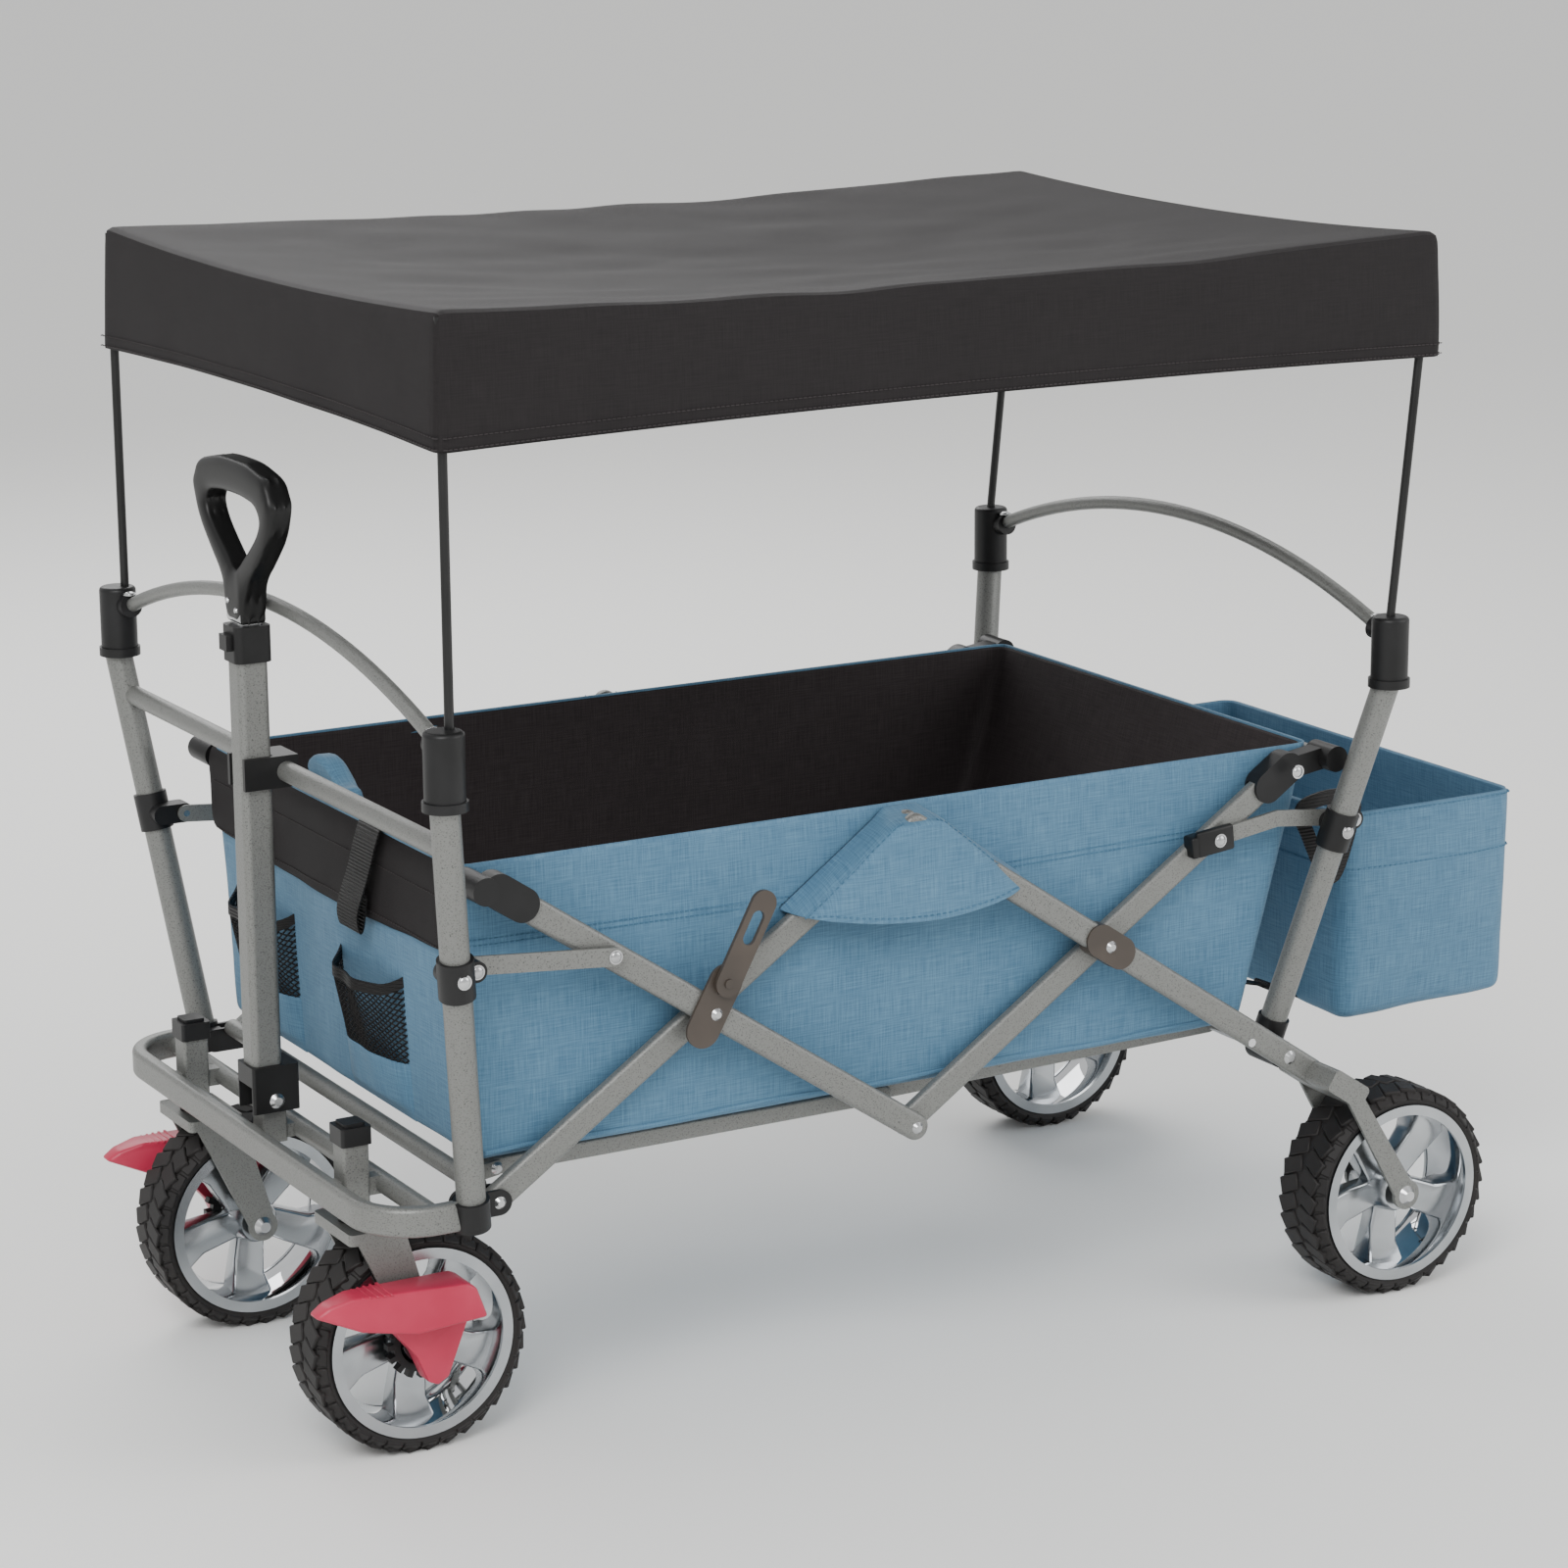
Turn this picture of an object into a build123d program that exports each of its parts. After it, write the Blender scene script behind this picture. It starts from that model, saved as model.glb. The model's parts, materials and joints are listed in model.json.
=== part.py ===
from build123d import *
from math import atan2, cos, degrees, hypot, radians, sin
import os

# Folding pull wagon with a canopy, four wheels, a fabric tub and a rear bag.
#
# Axes: +X towards the rear bag, -X towards the pull handle, +Z up, origin on the ground under the
# middle of the wagon. The left side is -Y. All sizes are millimetres.

# ---------------------------------------------------------------- driving dimensions
WHEEL_RADIUS = 100.0
TYRE_WIDTH = 64.0
RIM_RADIUS = 84.0
AXLE_RADIUS = 6.0
FRONT_AXLE_X = -519.5
FRONT_WHEEL_Y = 177.0
REAR_AXLE_X = 436.5
REAR_WHEEL_Y = 293.0
CASTER_TRAIL = 48.0
STEM_X = FRONT_AXLE_X - CASTER_TRAIL
STEM_RADIUS = 8.0
STEM_TUBE = 24.0
ARM_GAP = TYRE_WIDTH / 2 + 3.0
ARM_PLATE = 4.0
CROWN_Z = 206.0

BAR_ARM = 243.0  # half of a scissor bar, pivot to pivot
BAR_ANGLE = 34.0  # slope of the bars when the wagon stands open
BAR_WIDTH = 24.0
BAR_WALL = 1.4
PIVOT_X = -481.5  # lowest front scissor pivot
PIVOT_Z = 243.0
INNER_LAYER = (270.0, 282.0)  # Y faces of the inner scissor bars
OUTER_LAYER = (284.0, 296.0)  # Y faces of the outer scissor bars
FRONT_LINK_LAYER = (300.0, 303.0)
REAR_LINK_LAYER = (282.5, 286.0)
FRONT_RAIL_LAYER = (231.0, 239.0)
REAR_RAIL_LAYER = (221.0, 229.0)
LATCH_LAYER = (296.0, 299.0)
LEVER_LAYER = (300.0, 304.0)
PIN_RADIUS = 3.0
RUNNING_GAP = 0.05
POLE_GAP = 0.2
OPEN_PIVOT_GAP = 0.3

POST_RADIUS = 12.5
POST_WALL = 1.4
FRONT_POST_FOOT = (-508.5, 289.0, 230.0)
FRONT_POST_TOP = (-555.0, 354.5, 608.0)
FRONT_CAP = (-553.5, 352.5, 604.0)
REAR_POST_FOOT = (324.4, 255.0, 243.0)
REAR_POST_TOP = (395.0, 334.0, 597.0)
REAR_CAP = (396.5, 335.0, 593.0)
CAP_RADIUS = 17.0
CAP_HEIGHT = 65.0
COLLAR_Z = 457.0
ARCH_RADIUS = 6.5
FRONT_ARCH_X = -548.5
REAR_ARCH_X = 400.5

U_BAR_X = -591.5
U_BAR_Z = 240.0
U_BAR_TALL = 26.0
U_BAR_THICK = 14.0
SECOND_BAR_X = -539.5
CROSS_TUBE = (-547.0, 567.0, 9.0)  # x, z, radius
LOW_RAIL = (-491.5, 254.0, 8.0)  # x, z, radius

HANDLE_X = -571.5
HANDLE_SIZE = 28.0
HANDLE_WALL = 1.5
HANDLE_FOOT_Z = 288.0
HANDLE_TOP_Z = 664.0
INNER_SIZE = 22.0
HANDLE_PIVOT = (-566.5, 272.0)
GRIP_THICK = 30.0

TUB_HALF_WIDTH = 262.0
TUB_WALL = 4.0
TUB_SIDE = ((-491.5, 277.0), (293.5, 277.0), (366.0, 531.0), (-503.5, 531.0))
FRONT_ROD = (-496.5, 518.0)
REAR_ROD = (368.4, 521.0)
ROD_RADIUS = 6.0
BAG_LOW = (426.5, -235.0, 240.0)
BAG_HIGH = (635.5, 235.0, 448.0)
BAG_WALL = 3.0

CANOPY_FRONT_X = -555.5
CANOPY_REAR_X = 440.5
CANOPY_FRONT_HALF = 361.0
CANOPY_REAR_HALF = 345.0
CANOPY_HEM_Z = 889.0
CANOPY_TOP_Z = 1004.0
CANOPY_CLOTH = 3.0
POLE_RADIUS = 4.0
POLE_TOP_Z = 996.0
FRONT_POLE = (-547.0, 350.0)
REAR_POLE_TOP = (431.0, 335.0)

nodes = {}


def keep(name, *solids):
    """Files the solids of one named piece."""
    nodes.setdefault(name, []).extend(solids)


def left(shape):
    """Mirror image on the left side."""
    return mirror(shape, about=Plane.XZ)


def pair(shape):
    """The right-hand shape and its mirror image."""
    return [shape, left(shape)]


# ---------------------------------------------------------------- shared shapes
def rod(start, end, radius, wall=0.0):
    """Round bar between two points, or a tube when a wall is given."""
    start, end = Vector(*start), Vector(*end)
    plane = Plane(origin=start, z_dir=end - start)
    length = (end - start).length
    body = extrude(plane * Circle(radius), amount=length)
    if wall:
        body -= extrude(plane * Circle(radius - wall), amount=length)
    return body


def cross_rod(x, z, y_low, y_high, radius):
    """Cylinder along Y."""
    return rod((x, y_low, z), (x, y_high, z), radius)


def side_plate(profile, y_low, y_high):
    """Plate cut to a profile drawn in X and Z, between two Y faces."""
    depth = y_high - y_low
    return Pos(0, (y_low + y_high) / 2, 0) * Rot(90, 0, 0) * extrude(profile, amount=depth / 2, both=True)


def strap(p, q, faces, width, edge=0.0):
    """Flat link with round ends, from p to q in the side plane, between two Y faces."""
    (px, pz), (qx, qz) = p, q
    body = extrude(SlotCenterToCenter(hypot(qx - px, qz - pz), width), (faces[1] - faces[0]) / 2, both=True)
    if edge:
        body = fillet(body.faces().filter_by(Axis.Z).edges(), edge)
    middle = ((px + qx) / 2, sum(faces) / 2, (pz + qz) / 2)
    return Pos(*middle) * Rot(0, -degrees(atan2(qz - pz, qx - px)), 0) * Rot(90, 0, 0) * body


def oval_bar(p, q, faces, holes, width=BAR_WIDTH, edge=4.5):
    """Hollow flat-oval bar with closed round ends and pivot holes given as (x, z, radius)."""
    body = strap(p, q, faces, width, edge)
    body -= strap(p, q, (faces[0] + BAR_WALL, faces[1] - BAR_WALL), width - 2 * BAR_WALL)
    for x, z, radius in holes:
        body -= cross_rod(x, z, faces[0] - 1, faces[1] + 1, radius)
    return body


def rivet(x, z, y_low, y_high, radius=PIN_RADIUS, head=5.5, rise=2.4):
    """Rivet along Y with a low cone head on each end."""
    body = cross_rod(x, z, y_low, y_high, radius)
    crown = Solid.make_cone(head, head * 0.55, rise)
    body += Pos(x, y_high, z) * Rot(-90, 0, 0) * crown
    return body + Pos(x, y_low, z) * Rot(90, 0, 0) * crown


def upright_box(size, centre, radius):
    """Box with its upright edges rounded."""
    return Pos(*centre) * extrude(RectangleRounded(size[0], size[1], radius), size[2] / 2, both=True)


def along(foot, top, z):
    """Point on the line from foot to top at height z."""
    share = (z - foot[2]) / (top[2] - foot[2])
    return tuple(a + share * (b - a) for a, b in zip(foot, top))


# ---------------------------------------------------------------- pivots, as (x, z)
SLOPE = (cos(radians(BAR_ANGLE)), sin(radians(BAR_ANGLE)))


def pivot(columns, rows):
    """Scissor pivot so many half bars along and up from the lowest front one."""
    return (PIVOT_X + columns * BAR_ARM * SLOPE[0], PIVOT_Z + rows * BAR_ARM * SLOPE[1])


FRONT_LOW, FRONT_CROSS, FRONT_HIGH = pivot(0, 0), pivot(1, 1), pivot(0, 2)
MIDDLE_LOW, MIDDLE_HIGH = pivot(2, 0), pivot(2, 2)
REAR_CROSS, REAR_LOW, REAR_HIGH = pivot(3, 1), pivot(4, 0), pivot(4, 2)
BAR_END = (REAR_LOW[0] + 34.0 * SLOPE[0], REAR_LOW[1] - 34.0 * SLOPE[1])
FRONT_LINK_REACH = 118.0  # from the front crossing up the outer bar
REAR_LINK_REACH = 145.0  # from the rear crossing up the inner bar
FRONT_LINK_BAR = (
    FRONT_CROSS[0] - FRONT_LINK_REACH * SLOPE[0],
    FRONT_CROSS[1] + FRONT_LINK_REACH * SLOPE[1],
)
REAR_LINK_BAR = (
    REAR_CROSS[0] + REAR_LINK_REACH * SLOPE[0],
    REAR_CROSS[1] + REAR_LINK_REACH * SLOPE[1],
)
FRONT_COLLAR = along(FRONT_POST_FOOT, FRONT_POST_TOP, COLLAR_Z)
REAR_COLLAR = along(REAR_POST_FOOT, REAR_POST_TOP, COLLAR_Z)
FRONT_LINK_POST = (FRONT_COLLAR[0] + 22.0, COLLAR_Z)
REAR_LINK_POST = (REAR_COLLAR[0] + 25.0, COLLAR_Z + 4.0)
REAR_LINK_KNEE = (312.0, 470.0)
RAIL_FRONT = (-463.0, 258.0)
RAIL_MIDDLE = (MIDDLE_LOW[0], 258.0)
RAIL_REAR = (281.0, 264.0)


# ---------------------------------------------------------------- wheels
def tyre(x, y):
    """Solid tyre with a flat tread and rounded shoulders."""
    section = Pos((WHEEL_RADIUS + RIM_RADIUS) / 2, 0) * Rectangle(WHEEL_RADIUS - RIM_RADIUS, TYRE_WIDTH)
    section = fillet(section.vertices().sort_by(Axis.X)[-2:], 9.0)
    return Pos(x, y, WHEEL_RADIUS) * revolve(section, Axis.Y)


def rim(x, y):
    """Moulded wheel centre: barrel, web with five windows, and a hub bored for the axle."""
    barrel = Cylinder(RIM_RADIUS, TYRE_WIDTH - 4.0) - Cylinder(RIM_RADIUS - 7.0, TYRE_WIDTH)
    web = Cylinder(RIM_RADIUS - 6.0, 16.0)
    opening = Polygon((26, -8), (66, -30), (72, 10), (58, 24), align=None)
    window = extrude(fillet(opening.vertices(), 6.0), 20, both=True)
    for number in range(5):
        web -= Rot(0, 0, 72 * number) * window
    body = barrel + web + Cylinder(20.0, TYRE_WIDTH - 8.0)
    body -= Cylinder(AXLE_RADIUS + RUNNING_GAP, TYRE_WIDTH + 10)
    return Pos(x, y, WHEEL_RADIUS) * Rot(90, 0, 0) * body


def brake_drum(x, y):
    """Ring with square teeth, keyed on the outer end of a front hub."""
    body = Cylinder(26.0, 8.0)
    for number in range(16):
        body += Rot(0, 0, 22.5 * number) * Pos(28.5, 0, 0) * Box(7.0, 5.0, 8.0)
    body -= Cylinder(20.0, 20.0)
    return Pos(x, y, WHEEL_RADIUS) * Rot(90, 0, 0) * body


def axle(x, y, inner, outer):
    """Axle bolt along Y with a head on each end."""
    return rivet(x, WHEEL_RADIUS, y - inner, y + outer, radius=AXLE_RADIUS, head=9.0, rise=5.0)


def make_wheels():
    grip = ARM_GAP + ARM_PLATE
    front_axle = axle(FRONT_AXLE_X, FRONT_WHEEL_Y, grip, grip + 15.0)
    for side, sign in (("right", 1), ("left", -1)):
        front_y, rear_y = sign * FRONT_WHEEL_Y, sign * REAR_WHEEL_Y
        keep(f"front_tyre_{side}", tyre(FRONT_AXLE_X, front_y))
        keep(f"front_rim_{side}", rim(FRONT_AXLE_X, front_y))
        keep(f"rear_tyre_{side}", tyre(REAR_AXLE_X, rear_y))
        keep(f"rear_rim_{side}", rim(REAR_AXLE_X, rear_y))
        keep(f"brake_drum_{side}", brake_drum(FRONT_AXLE_X, front_y + sign * 24.0))
        keep(f"front_axle_{side}", front_axle if sign > 0 else left(front_axle))
    keep("rear_axles", *pair(axle(REAR_AXLE_X, REAR_WHEEL_Y, grip, grip)))


# ---------------------------------------------------------------- forks and brake pedals
def fork_arms(y, top, axle_x):
    """Two tapering side plates from the crown down to round eyes at the axle."""
    plate = Polygon(*top, (axle_x + 13.0, WHEEL_RADIUS), (axle_x - 13.0, WHEEL_RADIUS), align=None)
    plate += Pos(axle_x, WHEEL_RADIUS) * Circle(14.0)
    plate -= Pos(axle_x, WHEEL_RADIUS) * Circle(AXLE_RADIUS + RUNNING_GAP)
    return [side_plate(plate, y + low, y + low + ARM_PLATE) for low in (ARM_GAP, -ARM_GAP - ARM_PLATE)]


def caster_fork():
    """Swivelling front fork: stem, folded crown and two arms that trail behind the stem."""
    width = 2 * (ARM_GAP + ARM_PLATE)
    body = upright_box((52.0, width, 10.0), (STEM_X + 6.0, FRONT_WHEEL_Y, CROWN_Z), 5.0)
    top = ((STEM_X - 16.0, CROWN_Z + 3.0), (STEM_X + 30.0, CROWN_Z + 3.0))
    for arm in fork_arms(FRONT_WHEEL_Y, top, FRONT_AXLE_X):
        body += arm
    return body + rod((STEM_X, FRONT_WHEEL_Y, CROWN_Z), (STEM_X, FRONT_WHEEL_Y, 284.0), STEM_RADIUS)


def rear_fork():
    """Fork whose crown is welded to the low end of the rear outer bar."""
    x, z = REAR_LOW[0] + 50.0 * SLOPE[0], REAR_LOW[1] - 50.0 * SLOPE[1]
    crown = Box(46.0, 2 * (ARM_GAP + ARM_PLATE), 22.0)
    crown = fillet(crown.edges().filter_by(Axis.Y), 5.0)
    body = Pos(x, REAR_WHEEL_Y, z) * Rot(0, BAR_ANGLE, 0) * crown
    top = (
        (x - 14.0 * SLOPE[0], z + 14.0 * SLOPE[1]),
        (x + 19.0 * SLOPE[0], z - 19.0 * SLOPE[1] + 3.0),
    )
    for arm in fork_arms(REAR_WHEEL_Y, top, REAR_AXLE_X):
        body += arm
    return body - strap(REAR_CROSS, BAR_END, OUTER_LAYER, BAR_WIDTH)


def brake_pedal():
    """Foot lever outside the fork: a tread plate on a three-cornered leg that turns on the axle."""
    x, z = FRONT_AXLE_X, WHEEL_RADIUS
    face = FRONT_WHEEL_Y + ARM_GAP + ARM_PLATE + 1.0
    leg = Polygon(
        (x - 60, z + 34), (x + 34, z + 34), (x + 8, z - 28), (x - 8, z - 28), (x - 20, z + 2), align=None
    )
    tread = Polygon(
        (x - 120.8, z + 57), (x - 89, z + 69), (x + 23, z + 66), (x + 41, z + 32), (x - 26, z + 28),
        (x - 80, z + 36), align=None,
    )
    body = side_plate(fillet(leg.vertices(), 4.0), face, face + 13.0)
    body += side_plate(fillet(tread.vertices(), 4.0), face, face + 42.0)
    return body - cross_rod(x, z, face - 5, face + 20, AXLE_RADIUS + RUNNING_GAP)


def make_forks():
    fork = caster_fork()
    keep("caster_fork_right", fork)
    keep("caster_fork_left", left(fork))
    keep("rear_forks", *pair(rear_fork()))
    pedal = brake_pedal()
    keep("brake_pedal_right", pedal)
    keep("brake_pedal_left", left(pedal))


# ---------------------------------------------------------------- frame ends
def u_frame(shoe):
    """Bumper bar bent round the front, straight bar behind it and square stems, welded to each other."""
    side_y, end_x = FRONT_POST_FOOT[1], FRONT_POST_FOOT[0]
    corners = [(end_x, side_y), (U_BAR_X, side_y), (U_BAR_X, -side_y), (end_x, -side_y)]
    path = FilletPolyline(*[(x, y, U_BAR_Z) for x, y in corners], radius=52.0)
    start = Plane(origin=path @ 0, x_dir=(0, 1, 0), z_dir=(-1, 0, 0))
    bumper = sweep(start * RectangleRounded(U_BAR_THICK, U_BAR_TALL, 5.0), path=path)
    bar = cross_rod(SECOND_BAR_X, U_BAR_Z, -side_y + 2, side_y - 2, 9.0)
    for blank in pair(shoe):
        bumper -= blank
        bar -= blank
    stems = []
    for y in (FRONT_WHEEL_Y, -FRONT_WHEEL_Y):
        stem = upright_box((STEM_TUBE, STEM_TUBE, 67.0), (STEM_X, y, 251.5), 3.0)
        stem += upright_box((48.0, 14.0, 16.0), (STEM_X + 2.0, y, U_BAR_Z), 2.0)
        stems.append(stem - rod((STEM_X, y, 200.0), (STEM_X, y, 300.0), STEM_RADIUS + RUNNING_GAP))
    centre = upright_box((STEM_TUBE, STEM_TUBE, 46.0), (HANDLE_PIVOT[0], 0, 255.0), 3.0)
    centre += upright_box((48.0, 18.0, 12.0), (STEM_X + 2.0, 0, U_BAR_Z), 2.0)
    stems.append(centre - cross_rod(*HANDLE_PIVOT, -20, 20, 4.0 + RUNNING_GAP))
    return [bumper, bar, *(stem - bumper - bar for stem in stems)]


def arch(x, half_width, z_end, z_top):
    """Bowed tie tube between the two post caps of one end, as (tube, filled tube)."""
    line = ThreePointArc((x, -half_width, z_end), (x, 0, z_top), (x, half_width, z_end))
    start = Plane(origin=line @ 0, z_dir=line % 0)
    filled = sweep(start * Circle(ARCH_RADIUS), path=line)
    return filled - sweep(start * Circle(ARCH_RADIUS - 1.2), path=line), filled


def post_cap(centre, taken):
    """Moulded cap on a post's top end, with a boss for the arch and a socket for the canopy pole."""
    x, y, z = centre
    body = fillet(Cylinder(CAP_RADIUS, CAP_HEIGHT).faces().sort_by(Axis.Z)[-1].edges(), 4.0)
    body = Pos(x, y, z + CAP_HEIGHT / 2) * body
    body += Pos(x, y, z + 4.0) * Cylinder(CAP_RADIUS + 2.0, 8.0)
    body += rod((x + 3.0, y, z + 46.0), (x + 3.0, y - 27.0, z + 50.0), 10.5)
    for solid in taken:
        body -= solid
    return body


def collar(centre, foot, top, link, link_layer):
    """Band clamped round a post, with an ear that holds the link's rivet beside the link."""
    post = rod(foot, top, POST_RADIUS)
    body = rod(along(foot, top, centre[2] - 17.0), along(foot, top, centre[2] + 17.0), POST_RADIUS + 3.0)
    ear_faces = (link_layer[1] + 0.4, centre[1] - 6.0)
    body += strap((centre[0], link[1]), link, ear_faces, 18.0)
    return body - post - cross_rod(*link, link_layer[0] - 10, centre[1] + 20, PIN_RADIUS + RUNNING_GAP)


def foot_bracket(shoe):
    """Plastic shoe round the front post's foot whose cheeks hold the inner bar's pivot."""
    start = (FRONT_POST_FOOT[0], PIVOT_Z)
    body = shoe
    for low in (INNER_LAYER[0] - 4.6, INNER_LAYER[1] + 0.6):
        body += strap(start, FRONT_LOW, (low, low + 4.0), 22.0)
    body += Pos(start[0] + 4.0, INNER_LAYER[0] + 2.0, PIVOT_Z) * Box(10.0, 13.0, 20.0)
    body -= rod(FRONT_POST_FOOT, FRONT_POST_TOP, POST_RADIUS)
    return body - cross_rod(*FRONT_LOW, 255, 300, PIN_RADIUS + RUNNING_GAP)


def low_rail():
    """Cross rail under the front of the tub, with two pairs of ears for the floor rails."""
    x, z, radius = LOW_RAIL
    body = cross_rod(x, z, -265.0, 265.0, radius)
    for low in (FRONT_RAIL_LAYER[0] - 4.5, FRONT_RAIL_LAYER[1] + 0.5):
        for ear in pair(strap((x, z), RAIL_FRONT, (low, low + 4.0), 13.0)):
            body += ear
    for sign in (1, -1):
        middle = sign * sum(FRONT_RAIL_LAYER) / 2
        body -= cross_rod(*RAIL_FRONT, middle - 15, middle + 15, PIN_RADIUS + RUNNING_GAP)
    return body


def caster_bush():
    """Plastic ring under a stem tube and square cap over it."""
    y = FRONT_WHEEL_Y
    ring = Pos(STEM_X, y, 214.6) * (Cylinder(13.0, 6.6) - Cylinder(STEM_RADIUS + RUNNING_GAP, 20.0))
    cap = upright_box((28.0, 28.0, 16.0), (STEM_X, y, 288.0), 3.0)
    cap += upright_box((20.0, 20.0, 4.0), (STEM_X, y, 297.0), 3.0)
    cap -= upright_box((STEM_TUBE, STEM_TUBE, 40.0), (STEM_X, y, 265.2), 3.0)
    return [ring, cap]


def make_front_frame():
    post = rod(FRONT_POST_FOOT, FRONT_POST_TOP, POST_RADIUS)
    low, high = (along(FRONT_POST_FOOT, FRONT_POST_TOP, z) for z in (228.0, 254.0))
    shoe = rod(low, high, 15.5)
    keep("front_u_frame", *u_frame(shoe))
    tube = rod(FRONT_POST_FOOT, FRONT_POST_TOP, POST_RADIUS, POST_WALL)
    keep("front_posts", *pair(tube))
    x, z, radius = CROSS_TUBE
    bar = cross_rod(x, z, -342.0, 342.0, radius) - cross_rod(x, z, -345.0, 345.0, radius - 1.4)
    for blank in pair(post):
        bar -= blank
    keep("front_cross_tubes", bar, low_rail())
    bow, bow_filled = arch(FRONT_ARCH_X, 335.0, 652.0, 712.0)
    keep("front_arch", bow)
    pole = rod((*FRONT_POLE, 630.0), (*FRONT_POLE, 700.0), POLE_RADIUS + RUNNING_GAP)
    keep("front_post_caps", *pair(post_cap(FRONT_CAP, (post, bow_filled, pole))))
    band = collar(FRONT_COLLAR, FRONT_POST_FOOT, FRONT_POST_TOP, FRONT_LINK_POST, FRONT_LINK_LAYER)
    keep("front_post_fittings", *pair(foot_bracket(shoe)), *pair(band))
    for bush in caster_bush():
        keep("caster_bushes", *pair(bush))
    low, high = INNER_LAYER[0] - 4.6, INNER_LAYER[1] + 4.6
    keep("frame_bolts", *pair(rivet(*FRONT_LOW, low, high)))
    keep("frame_bolts", *pair(cross_rod(*FRONT_LINK_POST, FRONT_LINK_LAYER[0], 316.0, PIN_RADIUS)))
    low, high = FRONT_RAIL_LAYER[0] - 4.5, FRONT_RAIL_LAYER[1] + 4.5
    keep("frame_bolts", *pair(rivet(*RAIL_FRONT, low, high)))
    keep("frame_bolts", rivet(*HANDLE_PIVOT, -18.3, 18.3, radius=4.0, head=7.0, rise=3.0))


def make_rear_frame():
    post = rod(REAR_POST_FOOT, REAR_POST_TOP, POST_RADIUS)
    start = along(REAR_POST_FOOT, REAR_POST_TOP, REAR_POST_FOOT[2] + 15.0)
    keep("rear_posts", *pair(rod(start, REAR_POST_TOP, POST_RADIUS, POST_WALL)))
    bow, bow_filled = arch(REAR_ARCH_X, 318.0, 642.0, 702.0)
    keep("rear_arch", bow)
    x, y = REAR_CAP[:2]
    hole = rod(along((x, y, 659.0), (*REAR_POLE_TOP, POLE_TOP_Z), 620.0), (*REAR_POLE_TOP, POLE_TOP_Z),
               POLE_RADIUS + POLE_GAP)
    keep("rear_post_caps", *pair(post_cap(REAR_CAP, (post, bow_filled, hole))))
    band = collar(REAR_COLLAR, REAR_POST_FOOT, REAR_POST_TOP, REAR_LINK_POST, REAR_LINK_LAYER)
    foot = cross_rod(*REAR_LOW, 243.0, OUTER_LAYER[0] - 0.4, 13.0)
    foot += rod(REAR_POST_FOOT, along(REAR_POST_FOOT, REAR_POST_TOP, 273.0), 15.0)
    foot -= rod(start, REAR_POST_TOP, POST_RADIUS)
    foot -= cross_rod(*REAR_LOW, 230, 300, 4.0 + RUNNING_GAP)
    foot -= cross_rod(*REAR_LOW, 230, 243, 7.0)
    keep("rear_post_fittings", *pair(foot), *pair(band))
    keep("rear_link_pins", *pair(cross_rod(*REAR_LINK_POST, REAR_LINK_LAYER[0], 297.0, PIN_RADIUS)))


# ---------------------------------------------------------------- scissor sides
def make_scissors():
    fit, loose = PIN_RADIUS + RUNNING_GAP, PIN_RADIUS + OPEN_PIVOT_GAP
    outer, inner = OUTER_LAYER, INNER_LAYER
    keep("front_outer_bars", *pair(oval_bar(
        FRONT_HIGH, MIDDLE_LOW, outer, [(*FRONT_CROSS, fit), (*MIDDLE_LOW, fit)])))
    keep("front_inner_bars", *pair(oval_bar(
        FRONT_LOW, MIDDLE_HIGH, inner, [(*FRONT_LOW, fit), (*FRONT_CROSS, fit), (*MIDDLE_HIGH, loose)])))
    keep("rear_outer_bars", *pair(oval_bar(
        MIDDLE_HIGH, BAR_END, outer,
        [(*MIDDLE_HIGH, fit), (*REAR_CROSS, fit), (*REAR_LOW, 4.0 + RUNNING_GAP), (*RAIL_REAR, 4.0)])))
    keep("rear_inner_bars", *pair(oval_bar(
        MIDDLE_LOW, REAR_HIGH, inner, [(*MIDDLE_LOW, fit), (*REAR_CROSS, fit)])))
    keep("front_bar_rivets", *pair(rivet(*FRONT_CROSS, inner[0], LATCH_LAYER[1])))
    keep("front_bar_rivets", *pair(rivet(*MIDDLE_LOW, inner[0], outer[1])))
    keep("front_bar_rivets", *pair(cross_rod(*FRONT_LINK_BAR, outer[1], FRONT_LINK_LAYER[0] - 0.4, 5.0)))
    keep("rear_bar_rivets", *pair(rivet(*REAR_CROSS, inner[0], outer[1] + 2.0)))
    keep("rear_bar_rivets", *pair(rivet(*MIDDLE_HIGH, inner[0], outer[1])))
    keep("rear_bar_rivets", *pair(rivet(*REAR_LOW, 243.0, outer[1], radius=4.0, head=6.5)))
    keep("rear_bar_rivets", *pair(cross_rod(*RAIL_REAR, REAR_RAIL_LAYER[1] + 0.6, outer[1], 4.0)))


def bar_sleeve(high, direction, layer, length):
    """Plastic sleeve over the top end of a bar that slopes down along direction."""
    low = (high[0] + direction * length * SLOPE[0], high[1] - length * SLOPE[1])
    faces = (layer[0] - 3.0, layer[1] + 3.0)
    return strap(high, low, faces, BAR_WIDTH + 6.0)


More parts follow.
